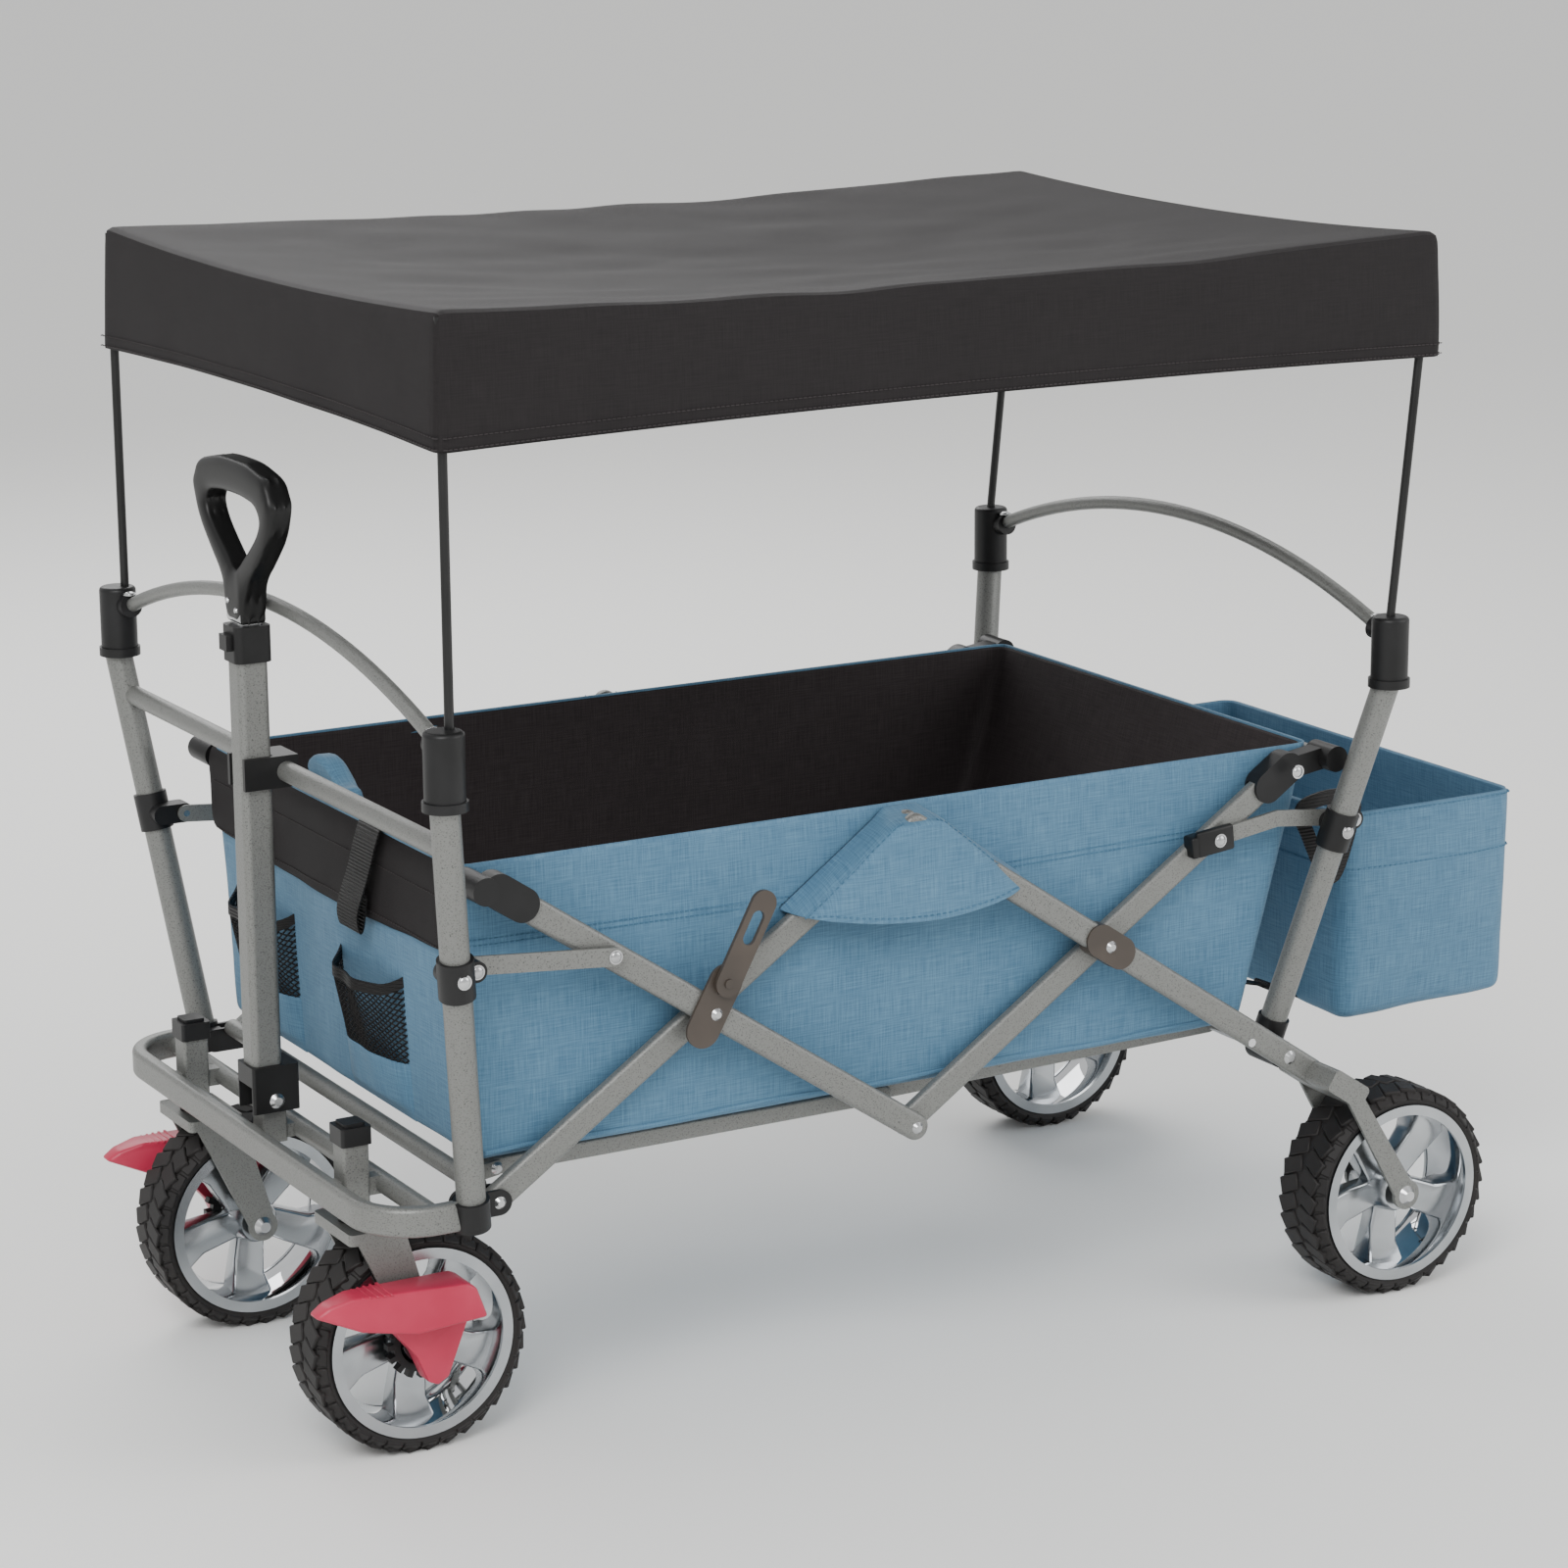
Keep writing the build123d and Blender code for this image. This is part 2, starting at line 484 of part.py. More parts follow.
def make_connectors():
    """Corner fittings that join the top ends of the bars to the rim rods of the tub."""
    front_bar = strap(FRONT_HIGH, MIDDLE_LOW, OUTER_LAYER, BAR_WIDTH)
    front = bar_sleeve(FRONT_HIGH, 1, OUTER_LAYER, 26.0) + cross_rod(*FRONT_ROD, 263.5, 306.0, 12.0)
    front -= front_bar + cross_rod(*FRONT_ROD, 260.0, 290.0, ROD_RADIUS)
    keep("front_corner_connectors", *pair(front))
    keep("front_rim_rod", cross_rod(*FRONT_ROD, -283.0, 283.0, ROD_RADIUS))
    rear_bar = strap(REAR_HIGH, MIDDLE_LOW, INNER_LAYER, BAR_WIDTH)
    rear = bar_sleeve(REAR_HIGH, -1, INNER_LAYER, 26.0) + cross_rod(*REAR_ROD, 263.5, 298.0, 12.0)
    rear += strap(REAR_HIGH, REAR_ROD, (INNER_LAYER[0] - 3.0, INNER_LAYER[1] + 3.0), 20.0)
    rear -= rear_bar + cross_rod(*REAR_ROD, 260.0, 285.0, ROD_RADIUS)
    keep("rear_corner_connectors", *pair(rear))
    keep("rear_rim_rod", cross_rod(*REAR_ROD, -280.0, 280.0, ROD_RADIUS))


def make_latches():
    """Lock at each front crossing: a base on the outer bar and a lever with a finger window."""
    x, z = FRONT_CROSS
    lever_pivot = (x + 9.0, z + 27.0)
    base = strap((x - 13.0, z - 12.0), lever_pivot, LATCH_LAYER, 32.0)
    base -= cross_rod(x, z, 290, 305, PIN_RADIUS + RUNNING_GAP)
    base += cross_rod(*lever_pivot, LATCH_LAYER[0], LEVER_LAYER[1] + 1.5, 4.0)
    keep("latch_bases", *pair(base))
    lever = strap(lever_pivot, (x + 44.0, z + 92.0), LEVER_LAYER, 24.0)
    window = strap((x + 29.0, z + 64.0), (x + 38.0, z + 81.0), (295, 310), 12.0)
    lever -= window + cross_rod(*lever_pivot, 295, 310, 4.0 + RUNNING_GAP)
    keep("latch_lever_right", lever)
    keep("latch_lever_left", left(lever))
    reach = 13.0
    clamp = strap(
        (REAR_CROSS[0] - reach * SLOPE[0], REAR_CROSS[1] + reach * SLOPE[1]),
        (REAR_CROSS[0] + reach * SLOPE[0], REAR_CROSS[1] - reach * SLOPE[1]),
        (OUTER_LAYER[0] - 1.0, OUTER_LAYER[1] + 2.0), BAR_WIDTH + 6.0,
    )
    clamp -= strap(MIDDLE_HIGH, REAR_LOW, OUTER_LAYER, BAR_WIDTH)
    keep("crossing_clamps", *pair(clamp - cross_rod(*REAR_CROSS, 260, 310, PIN_RADIUS + RUNNING_GAP)))


def make_links():
    """Links that keep the posts upright as the bars fold."""
    front = strap(FRONT_LINK_POST, FRONT_LINK_BAR, FRONT_LINK_LAYER, 16.0)
    keep("front_links", *pair(front - cross_rod(*FRONT_LINK_POST, 295, 310, PIN_RADIUS + RUNNING_GAP)))
    rear = strap(REAR_LINK_POST, REAR_LINK_KNEE, REAR_LINK_LAYER, 15.0)
    rear += strap(REAR_LINK_KNEE, REAR_LINK_BAR, REAR_LINK_LAYER, 15.0)
    keep("rear_links", *pair(rear - cross_rod(*REAR_LINK_POST, 280, 300, PIN_RADIUS + RUNNING_GAP)))


def make_floor_rails():
    """Floor frame in two halves that folds up in the middle."""
    fit = PIN_RADIUS + RUNNING_GAP
    front = oval_bar(RAIL_FRONT, RAIL_MIDDLE, FRONT_RAIL_LAYER, [(*RAIL_FRONT, fit)], width=16.0, edge=2.5)
    front += cross_rod(*RAIL_MIDDLE, REAR_RAIL_LAYER[0] - 3.0, FRONT_RAIL_LAYER[0] + 1.0, PIN_RADIUS)
    rear = oval_bar(RAIL_MIDDLE, RAIL_REAR, REAR_RAIL_LAYER, [(*RAIL_MIDDLE, fit)], width=16.0, edge=2.5)
    keep("front_floor_rails", *pair(front))
    keep("rear_floor_rails", *pair(rear))
    keep("front_floor_rails", cross_rod(RAIL_MIDDLE[0] - 24.0, RAIL_MIDDLE[1], *spread(FRONT_RAIL_LAYER), 6.0))
    keep("rear_floor_rails", cross_rod(RAIL_REAR[0] - 24.0, RAIL_REAR[1] - 0.4, *spread(REAR_RAIL_LAYER), 6.0))


def spread(layer):
    """Y ends of a cross bar that meets the inner faces of a pair of rails."""
    return (-layer[0], layer[0])


# ---------------------------------------------------------------- pull handle
def grip_outline(points, radius):
    """Closed outline in Y and Z, mirrored about Z, with its corners rounded."""
    mirrored = [(-y, z) for y, z in reversed(points)]
    return fillet(Polygon(*points, *mirrored, align=None).vertices(), radius)


def handle_grip():
    """D-shaped grip across the wagon, on a neck that takes the inner tube."""
    outer = grip_outline([(17, 698), (17, 716), (86, 784), (80, 828), (50, 838)], 8.0)
    hole = grip_outline([(6, 742), (56, 783), (58, 800), (40, 806)], 5.0)
    body = extrude(outer - hole, GRIP_THICK / 2, both=True)
    body = fillet(body.faces().filter_by(Axis.Z).edges(), 6.0)
    return Plane(origin=(HANDLE_X, 0, 0), x_dir=(0, 1, 0), z_dir=(1, 0, 0)) * body


def make_handle():
    wall = HANDLE_WALL
    height = HANDLE_TOP_Z - HANDLE_FOOT_Z
    centre = (HANDLE_X, 0, HANDLE_FOOT_Z + height / 2)
    filled = upright_box((HANDLE_SIZE, HANDLE_SIZE, height), centre, 6.0)
    hollow = upright_box((HANDLE_SIZE - 2 * wall, HANDLE_SIZE - 2 * wall, height), centre, 4.5)
    keep("handle_outer_tube", filled - hollow)
    bottom, top = 380.0, 712.0
    inner_filled = upright_box((INNER_SIZE, INNER_SIZE, top - bottom), (HANDLE_X, 0, (top + bottom) / 2), 4.0)
    bore = upright_box((INNER_SIZE - 2.4, INNER_SIZE - 2.4, top - bottom), (HANDLE_X, 0, (top + bottom) / 2), 3.0)
    keep("handle_inner_tube", inner_filled - bore)
    keep("handle_grip", handle_grip() - inner_filled)
    ring = upright_box((34.0, 34.0, 31.6), (HANDLE_X, 0, HANDLE_TOP_Z + 16.2), 7.0)
    ring -= upright_box((INNER_SIZE + 0.6, INNER_SIZE + 0.6, 60.0), (HANDLE_X, 0, HANDLE_TOP_Z + 16.0), 4.0)
    ring += Pos(HANDLE_X - 19.5, 0, HANDLE_TOP_Z + 18.0) * Box(6.0, 16.0, 14.0)
    keep("handle_lock_collar", ring)
    yoke = upright_box((44.0, 36.6, 42.0), (HANDLE_PIVOT[0], 0, 283.0), 3.0)
    yoke -= Pos(HANDLE_PIVOT[0], 0, 264.0) * Box(60.0, 28.6, 44.0)
    yoke -= upright_box((HANDLE_SIZE, HANDLE_SIZE, 60.0), (HANDLE_X, 0, HANDLE_FOOT_Z + 30.0), 6.0)
    keep("handle_yoke", yoke - cross_rod(*HANDLE_PIVOT, -25, 25, 4.0 + RUNNING_GAP))
    x, z, radius = CROSS_TUBE
    clip = Pos(-561.0, 0, z) * Box(50.0, 38.0, 28.0)
    clip -= Pos(HANDLE_X - 8.0, 0, z) * Box(HANDLE_SIZE + 16.6, HANDLE_SIZE + 0.6, 40.0)
    keep("handle_clip", clip - cross_rod(x, z, -30, 30, radius))


# ---------------------------------------------------------------- fabric and canopy
def make_tub():
    """Cloth tub with stiff walls, open at the top, hung from the rim rods."""
    (front_x, floor_z), (rear_x, _), (rear_top_x, rim_z), (front_top_x, _) = TUB_SIDE
    body = side_plate(Polygon(*TUB_SIDE, align=None), -TUB_HALF_WIDTH, TUB_HALF_WIDTH)
    room = Polygon(
        (front_x + TUB_WALL, floor_z + 6.0), (rear_x - TUB_WALL + 1.7, floor_z + 6.0),
        (rear_top_x - TUB_WALL + 6.0, rim_z + 20.0), (front_top_x + TUB_WALL - 0.8, rim_z + 20.0), align=None,
    )
    body -= side_plate(room, -TUB_HALF_WIDTH + TUB_WALL, TUB_HALF_WIDTH - TUB_WALL)
    for rod_at in (FRONT_ROD, REAR_ROD):
        body += cross_rod(*rod_at, -261.0, 261.0, ROD_RADIUS + 3.5)
    for rod_at in (FRONT_ROD, REAR_ROD):
        body -= cross_rod(*rod_at, -270.0, 270.0, ROD_RADIUS + 0.4)
    keep("tub", body)


def make_bag():
    """Rear storage bag, open at the top."""
    low, high = Vector(*BAG_LOW), Vector(*BAG_HIGH)
    size, centre = high - low, (high + low) / 2
    body = upright_box((size.X, size.Y, size.Z), (centre.X, centre.Y, centre.Z), 14.0)
    inside = upright_box((size.X - 2 * BAG_WALL, size.Y - 2 * BAG_WALL, size.Z),
                         (centre.X, centre.Y, centre.Z + BAG_WALL), 11.0)
    keep("rear_bag", body - inside)


def canopy_outline(inset):
    """Plan of the canopy, narrower at the rear, drawn in by inset."""
    front, rear = CANOPY_FRONT_X + inset, CANOPY_REAR_X - inset
    wide, narrow = CANOPY_FRONT_HALF - inset, CANOPY_REAR_HALF - inset
    corners = Polygon((front, -wide), (rear, -narrow), (rear, narrow), (front, wide), align=None)
    return fillet(corners.vertices(), 8.0)


def make_canopy():
    """Canopy cloth with four skirts on four thin poles."""
    height = CANOPY_TOP_Z - CANOPY_HEM_Z
    cloth = Pos(0, 0, CANOPY_HEM_Z) * extrude(canopy_outline(0.0), height)
    cloth -= Pos(0, 0, CANOPY_HEM_Z) * extrude(canopy_outline(CANOPY_CLOTH), height - CANOPY_CLOTH)
    keep("canopy", cloth)
    keep("front_canopy_poles", *pair(rod((*FRONT_POLE, 630.0), (*FRONT_POLE, POLE_TOP_Z), POLE_RADIUS)))
    foot = along((REAR_CAP[0], REAR_CAP[1], 659.0), (*REAR_POLE_TOP, POLE_TOP_Z), 622.0)
    keep("rear_canopy_poles", *pair(rod(foot, (*REAR_POLE_TOP, POLE_TOP_Z), POLE_RADIUS)))


make_wheels()
make_forks()
make_front_frame()
make_rear_frame()
make_scissors()
make_connectors()
make_latches()
make_links()
make_floor_rails()
make_handle()
make_tub()
make_bag()
make_canopy()

os.makedirs("parts", exist_ok=True)
for name, solids in nodes.items():
    pieces = [piece for solid in solids for piece in solid.solids()]
    export_step(Compound(children=pieces) if len(pieces) > 1 else pieces[0], f"parts/{name}.step")
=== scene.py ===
import json
import logging
import math
from collections.abc import Iterable, Sequence
from dataclasses import dataclass, field
from enum import Enum

import bmesh
import bpy
from mathutils import Matrix, Vector, noise
from mathutils.bvhtree import BVHTree


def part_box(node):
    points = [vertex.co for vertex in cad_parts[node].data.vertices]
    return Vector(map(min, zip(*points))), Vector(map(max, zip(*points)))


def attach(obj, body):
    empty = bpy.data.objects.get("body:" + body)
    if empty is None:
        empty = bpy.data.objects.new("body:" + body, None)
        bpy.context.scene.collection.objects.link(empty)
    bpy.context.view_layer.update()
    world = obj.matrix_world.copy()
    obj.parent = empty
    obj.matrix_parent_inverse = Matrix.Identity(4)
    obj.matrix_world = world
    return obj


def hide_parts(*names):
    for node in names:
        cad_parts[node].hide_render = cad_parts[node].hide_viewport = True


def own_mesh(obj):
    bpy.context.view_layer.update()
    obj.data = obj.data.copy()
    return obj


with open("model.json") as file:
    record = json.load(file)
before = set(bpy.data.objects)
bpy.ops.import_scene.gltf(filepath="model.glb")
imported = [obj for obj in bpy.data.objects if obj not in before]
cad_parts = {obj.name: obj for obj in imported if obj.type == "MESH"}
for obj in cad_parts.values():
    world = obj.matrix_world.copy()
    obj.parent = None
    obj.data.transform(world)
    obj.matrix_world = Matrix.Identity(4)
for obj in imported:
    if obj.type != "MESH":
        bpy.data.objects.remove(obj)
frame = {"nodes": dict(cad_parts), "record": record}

log = logging.getLogger("wagon")
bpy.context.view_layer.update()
MM = 0.001
Point = tuple[float, float, float]
Flat = tuple[float, float]


# ------------------------------------------------------------------ named choices
class Side(Enum):
    """A side of the wagon, with the sign of its Y."""

    LEFT = -1
    RIGHT = 1


class Drawn(Enum):
    """The plane an outline is drawn in, as the axes of its two numbers and of its depth."""

    SIDE = (0, 2, 1)
    FRONT = (1, 2, 0)
    PLAN = (0, 1, 2)


# ------------------------------------------------------------------ materials
def linear(hex_colour: str) -> tuple[float, float, float, float]:
    """Turn an sRGB hex colour into the linear colour that a shader socket takes.

    Args:
        hex_colour: Six hex digits after a hash.

    Returns:
        Red, green, blue and an alpha of one.
    """
    channels = [int(hex_colour[i : i + 2], 16) / 255 for i in (1, 3, 5)]
    bent = [c / 12.92 if c <= 0.04045 else ((c + 0.055) / 1.055) ** 2.4 for c in channels]
    return (bent[0], bent[1], bent[2], 1.0)


def add_node(
    tree: bpy.types.NodeTree, kind: str, settings: dict | None = None, links: dict | None = None
) -> bpy.types.Node:
    """Add one node with its settings and links.

    Args:
        tree: The material's node tree.
        kind: The node's Blender type name.
        settings: Attribute values set on the node.
        links: Input name or number to a value, or to a socket that is linked in.

    Returns:
        The new node.
    """
    node = tree.nodes.new(kind)
    for name, value in (settings or {}).items():
        setattr(node, name, value)
    for name, value in (links or {}).items():
        if isinstance(value, bpy.types.NodeSocket):
            tree.links.new(value, node.inputs[name])
        else:
            node.inputs[name].default_value = value
    return node


@dataclass(frozen=True)
class Finish:
    """A surface: its common name, colours and shader values, and the size of its grain."""

    name: str
    colour: str
    second: str
    roughness: float
    metallic: float = 0.0
    sheen: float = 0.0
    specular: float = 0.5
    grain_mm: float = 1.0
    bump: float = 0.2

    def build(self) -> bpy.types.Material:
        """Make the Blender material.

        Returns:
            The finished material.
        """
        made = bpy.data.materials.get(self.name)
        if made:
            return made
        made = bpy.data.materials.new(self.name)
        made.use_nodes = True
        made.diffuse_color = linear(self.colour)
        shader = made.node_tree.nodes["Principled BSDF"]
        levels = {
            "Roughness": self.roughness,
            "Metallic": self.metallic,
            "Sheen Weight": self.sheen,
            "Specular IOR Level": self.specular,
        }
        for socket, value in levels.items():
            shader.inputs[socket].default_value = value
        self.dress(made.node_tree, shader)
        return made

    def place(self, tree: bpy.types.NodeTree) -> bpy.types.NodeSocket:
        """Give the pattern's coordinates, in metres on the object."""
        return add_node(tree, "ShaderNodeTexCoord").outputs["Object"]

    def mottle(self, tree: bpy.types.NodeTree, size_mm: float, detail: float = 3.0) -> bpy.types.NodeSocket:
        """Add a soft noise with patches of a real size.

        Args:
            tree: The material's node tree.
            size_mm: The size of a patch.
            detail: How much fine noise lies on the patches.

        Returns:
            The noise's grey output.
        """
        links = {"Vector": self.place(tree), "Scale": 1 / (size_mm * MM), "Detail": detail}
        return add_node(tree, "ShaderNodeTexNoise", links=links).outputs["Fac"]

    def tint(self, tree: bpy.types.NodeTree, share: bpy.types.NodeSocket) -> bpy.types.NodeSocket:
        """Mix the finish's two colours by a grey socket.

        Args:
            tree: The material's node tree.
            share: From zero, the first colour, to one, the second.

        Returns:
            The colour output.
        """
        ramp = add_node(tree, "ShaderNodeValToRGB", links={"Fac": share})
        ramp.color_ramp.elements[0].position = 0.35
        ramp.color_ramp.elements[1].position = 0.68
        ramp.color_ramp.elements[0].color = linear(self.colour)
        ramp.color_ramp.elements[1].color = linear(self.second)
        return ramp.outputs["Color"]

    def dress(self, tree: bpy.types.NodeTree, shader: bpy.types.Node) -> None:
        """Give the shader its colour variation and its fine relief.

        Args:
            tree: The material's node tree.
            shader: The Principled shader.
        """
        tree.links.new(self.tint(tree, self.mottle(tree, 60.0)), shader.inputs["Base Color"])
        relief = add_node(
            tree,
            "ShaderNodeBump",
            links={"Height": self.mottle(tree, self.grain_mm), "Strength": self.bump, "Distance": 0.0004},
        )
        tree.links.new(relief.outputs["Normal"], shader.inputs["Normal"])


@dataclass(frozen=True)
class Hammertone(Finish):
    """Hammertone powder coat on steel: pale flecks about 1.5 mm across over a darker metallic grey."""

    def dress(self, tree: bpy.types.NodeTree, shader: bpy.types.Node) -> None:
        """Give the paint its flecks, its orange-peel relief and its uneven gloss.

        Args:
            tree: The material's node tree.
            shader: The Principled shader.
        """
        cells = add_node(
            tree,
            "ShaderNodeTexVoronoi",
            {"feature": "SMOOTH_F1"},
            {"Vector": self.place(tree), "Scale": 1 / (self.grain_mm * MM), "Smoothness": 0.6},
        )
        grain = self.mottle(tree, self.grain_mm * 0.8, detail=2.0)
        flecks = add_node(
            tree,
            "ShaderNodeMath",
            {"operation": "MULTIPLY_ADD"},
            {0: cells.outputs["Distance"], 1: 0.45, 2: grain},
        )
        tree.links.new(self.tint(tree, flecks.outputs[0]), shader.inputs["Base Color"])
        gloss = add_node(
            tree,
            "ShaderNodeMapRange",
            links={"Value": grain, "To Min": self.roughness - 0.07, "To Max": 0.52},
        )
        tree.links.new(gloss.outputs["Result"], shader.inputs["Roughness"])
        relief = add_node(
            tree,
            "ShaderNodeBump",
            links={"Height": flecks.outputs[0], "Strength": self.bump, "Distance": 0.0005},
        )
        tree.links.new(relief.outputs["Normal"], shader.inputs["Normal"])


@dataclass(frozen=True)
class Woven(Finish):
    """Woven polyester, drawn twice as coarse as the real 0.5 mm thread so that it shows.

    Cloth is a plain weave. Webbing is ribbed: its ribs run across the strap.
    """

    ribbed: bool = False
    slub_wide: float = 0.0011
    slub_long: float = 0.028
    crease_mm: float = 55.0
    patch_mm: float = 90.0

    def dress(self, tree: bpy.types.NodeTree, shader: bpy.types.Node) -> None:
        """Give the cloth crossing threads, soft creases and a faint uneven tint.

        Args:
            tree: The material's node tree.
            shader: The Principled shader.
        """
        threads = add_node(tree, "ShaderNodeUVMap", {"uv_map": "weave"}).outputs["UV"]
        turns = 2 * math.pi / (self.grain_mm * MM)
        scaled = add_node(
            tree, "ShaderNodeVectorMath", {"operation": "SCALE"}, {0: threads, "Scale": turns}
        ).outputs[0]
        across = add_node(tree, "ShaderNodeSeparateXYZ", links={0: scaled})
        warp = add_node(tree, "ShaderNodeMath", {"operation": "SINE"}, {0: across.outputs["X"]})
        weft = add_node(tree, "ShaderNodeMath", {"operation": "SINE"}, {0: across.outputs["Y"]})
        rule, other = ("ADD", 0.0) if self.ribbed else ("MULTIPLY", warp.outputs[0])
        weave = add_node(tree, "ShaderNodeMath", {"operation": rule}, {0: weft.outputs[0], 1: other})
        fine = add_node(
            tree,
            "ShaderNodeBump",
            links={"Height": weave.outputs[0], "Strength": self.bump, "Distance": 0.25 * self.grain_mm * MM},
        )
        crease = add_node(
            tree,
            "ShaderNodeBump",
            links={
                "Height": self.mottle(tree, self.crease_mm, detail=1.5),
                "Strength": 0.25,
                "Distance": 0.004,
                "Normal": fine.outputs["Normal"],
            },
        )
        tree.links.new(crease.outputs["Normal"], shader.inputs["Normal"])
        patch = self.mottle(tree, self.patch_mm)
        slubs = []
        for size_x, size_y in ((self.slub_wide, self.slub_long), (self.slub_long, self.slub_wide)):
            stretched = add_node(
                tree,
                "ShaderNodeVectorMath",
                {"operation": "MULTIPLY"},
                {0: threads, 1: (1 / size_x, 1 / size_y, 1.0)},
            )
            links = {"Vector": stretched.outputs[0], "Scale": 1.0, "Detail": 1.0}
            slubs.append(add_node(tree, "ShaderNodeTexNoise", links=links).outputs["Fac"])
        slub = add_node(tree, "ShaderNodeMath", {"operation": "ADD"}, {0: slubs[0], 1: slubs[1]})
        tone = 0.0
        for source, share in ((slub.outputs[0], 0.42), (patch, 0.16), (weave.outputs[0], 0.05)):
            links = {0: source, 1: share, 2: tone}
            tone = add_node(tree, "ShaderNodeMath", {"operation": "MULTIPLY_ADD"}, links).outputs[0]
        tree.links.new(self.tint(tree, tone), shader.inputs["Base Color"])


# Hammertone powder coat: a satin grey whose dark pits and pale crests sparkle a little.
HAMMERTONE = Hammertone(
    "hammertone_powder_coat", "#3f403e", "#7a7b78", 0.36, metallic=0.4, grain_mm=1.5, bump=0.5
)
# Spark-textured ABS: a dull black with a soft wide highlight.
BLACK_ABS = Finish("black_moulded_abs", "#121212", "#1c1c1d", 0.42, specular=0.32, grain_mm=0.6, bump=0.15)
# Satin ABS: a deeper black with a soft highlight along its edges.
GRIP_ABS = Finish("black_satin_abs", "#0e0e0e", "#161616", 0.4, specular=0.3, grain_mm=0.8, bump=0.05)
# Pigmented nylon: a warm brown-grey with a satin face.
TAUPE_NYLON = Finish("taupe_moulded_nylon", "#3f3832", "#4b433c", 0.4, specular=0.4, grain_mm=0.7, bump=0.12)
# Moulded polypropylene: a waxy red that is a little soft at its highlights.
PEDAL_RED = Finish(
    "red_moulded_polypropylene", "#b02744", "#bd3550", 0.36, specular=0.4, grain_mm=0.8, bump=0.08
)
# Zinc plate: a bright cold grey on rivets and bolts.
ZINC = Finish("zinc_plated_steel", "#b0b1b2", "#cfd0d1", 0.26, metallic=1.0, grain_mm=0.5, bump=0.06)
# Chrome plate over a polished moulding: a mirror with dark and bright reflections.
CHROME = Finish("chrome_plated_plastic", "#c4c6c9", "#d8dadc", 0.05, metallic=1.0, grain_mm=9.0, bump=0.03)
# Satin plate over an etched moulding: a milky silver.
SATIN = Finish("satin_silver_plating", "#a4a8ab", "#b9bcbf", 0.24, metallic=1.0, grain_mm=1.0, bump=0.03)
# Carbon-filled rubber: a matt, faintly brown black.
RUBBER = Finish("moulded_tyre_rubber", "#161414", "#211e1d", 0.6, specular=0.35, grain_mm=1.2, bump=0.2)
# Painted glass fibre: a smooth black rod with a narrow highlight.
FIBRE = Finish("black_glass_fibre_rod", "#111111", "#1a1a1a", 0.3, specular=0.4, grain_mm=1.0, bump=0.05)
# Solution-dyed 600 denier polyester: a dusty blue with paler slubs both ways.
BLUE = Woven(
    "blue_oxford_cloth", "#3d6480", "#5d859f", 0.62, sheen=0.08, specular=0.3, grain_mm=1.0, bump=0.35
)
# The same cloth in charcoal, which shows almost no thread. It is painted darker than the lining's copy
# because the canopy and the front band stand in direct light: painted shade.
CHARCOAL = Woven("charcoal_oxford_cloth", "#141112", "#1f1b1c", 0.68, specular=0.25, grain_mm=1.0, bump=0.35)
# The tub's lining: the same charcoal cloth, painted paler than its copy on the canopy and front band to lift
# the shade that the canopy casts inside the tub, with a softer face.
SHADE_LIFTED_LINING = Woven("charcoal_lining_cloth", "#2c2728", "#3d3738", 0.7, specular=0.25, grain_mm=1.0, bump=0.35)
# Polypropylene webbing: ribs across the strap catch the light.
WEBBING = Woven(
    "black_ribbed_webbing", "#0c0b0b", "#1b1919", 0.5, specular=0.35, grain_mm=3.2, bump=1.0, ribbed=True
)
# Bonded polyester thread, a shade off its cloth.
BLUE_THREAD = Finish("blue_sewing_thread", "#38607a", "#4a738e", 0.6, specular=0.3, grain_mm=0.6)
BLACK_THREAD = Finish("black_sewing_thread", "#262223", "#322d2e", 0.6, specular=0.3, grain_mm=0.6)


# ------------------------------------------------------------------ mesh helpers
def prism(
    bm: bmesh.types.BMesh, outline: Sequence[Flat], drawn: Drawn, low: float, high: float
) -> list[bmesh.types.BMVert]:
    """Extrude an outline between two depths.

    Args:
        bm: The mesh that takes the solid.
        outline: Corners in the outline's own plane.
        drawn: The plane that the outline lies in.
        low: The depth where the solid starts.
        high: The depth where it ends.

    Returns:
        The solid's vertices.
    """
    first, second, depth = drawn.value
    corners = []
    for u, v in outline:
        place = [0.0, 0.0, 0.0]
        place[first], place[second], place[depth] = u, v, low
        corners.append(bm.verts.new(place))
    face = bm.faces.new(corners)
    grown = bmesh.ops.extrude_face_region(bm, geom=[face])["geom"]
    moved = [v for v in grown if isinstance(v, bmesh.types.BMVert)]
    shift = [0.0, 0.0, 0.0]
    shift[depth] = high - low
    bmesh.ops.translate(bm, verts=moved, vec=shift)
    return corners + moved


def edges_of(verts: Iterable[bmesh.types.BMVert]) -> list[bmesh.types.BMEdge]:
    """List the edges whose both ends are among these vertices."""
    chosen = set(verts)
    return list({e for v in chosen for e in v.link_edges if e.other_vert(v) in chosen})


def soften(
    bm: bmesh.types.BMesh, edges: Iterable[bmesh.types.BMEdge], width: float, segments: int = 3
) -> None:
    """Round some edges.

    Args:
        bm: The mesh.
        edges: The edges to round.
        width: How far the rounding reaches from each edge.
        segments: How many faces make it.
    """
    bmesh.ops.bevel(
        bm,
        geom=list(edges),
        offset=width,
        offset_type="OFFSET",
        affect="EDGES",
        segments=segments,
        profile=0.5,
        material=-1,
        clamp_overlap=True,
    )


def solid_box(
    bm: bmesh.types.BMesh, size: Point, centre: Point, turn: Matrix | None = None
) -> list[bmesh.types.BMVert]:
    """Add a box.

    Args:
        bm: The mesh that takes it.
        size: Its full sizes.
        centre: Its centre.
        turn: Its rotation about the centre.

    Returns:
        Its vertices.
    """
    place = Matrix.Translation(centre) @ (turn or Matrix()) @ Matrix.Diagonal((*size, 1.0))
    return bmesh.ops.create_cube(bm, size=1.0, matrix=place)["verts"]


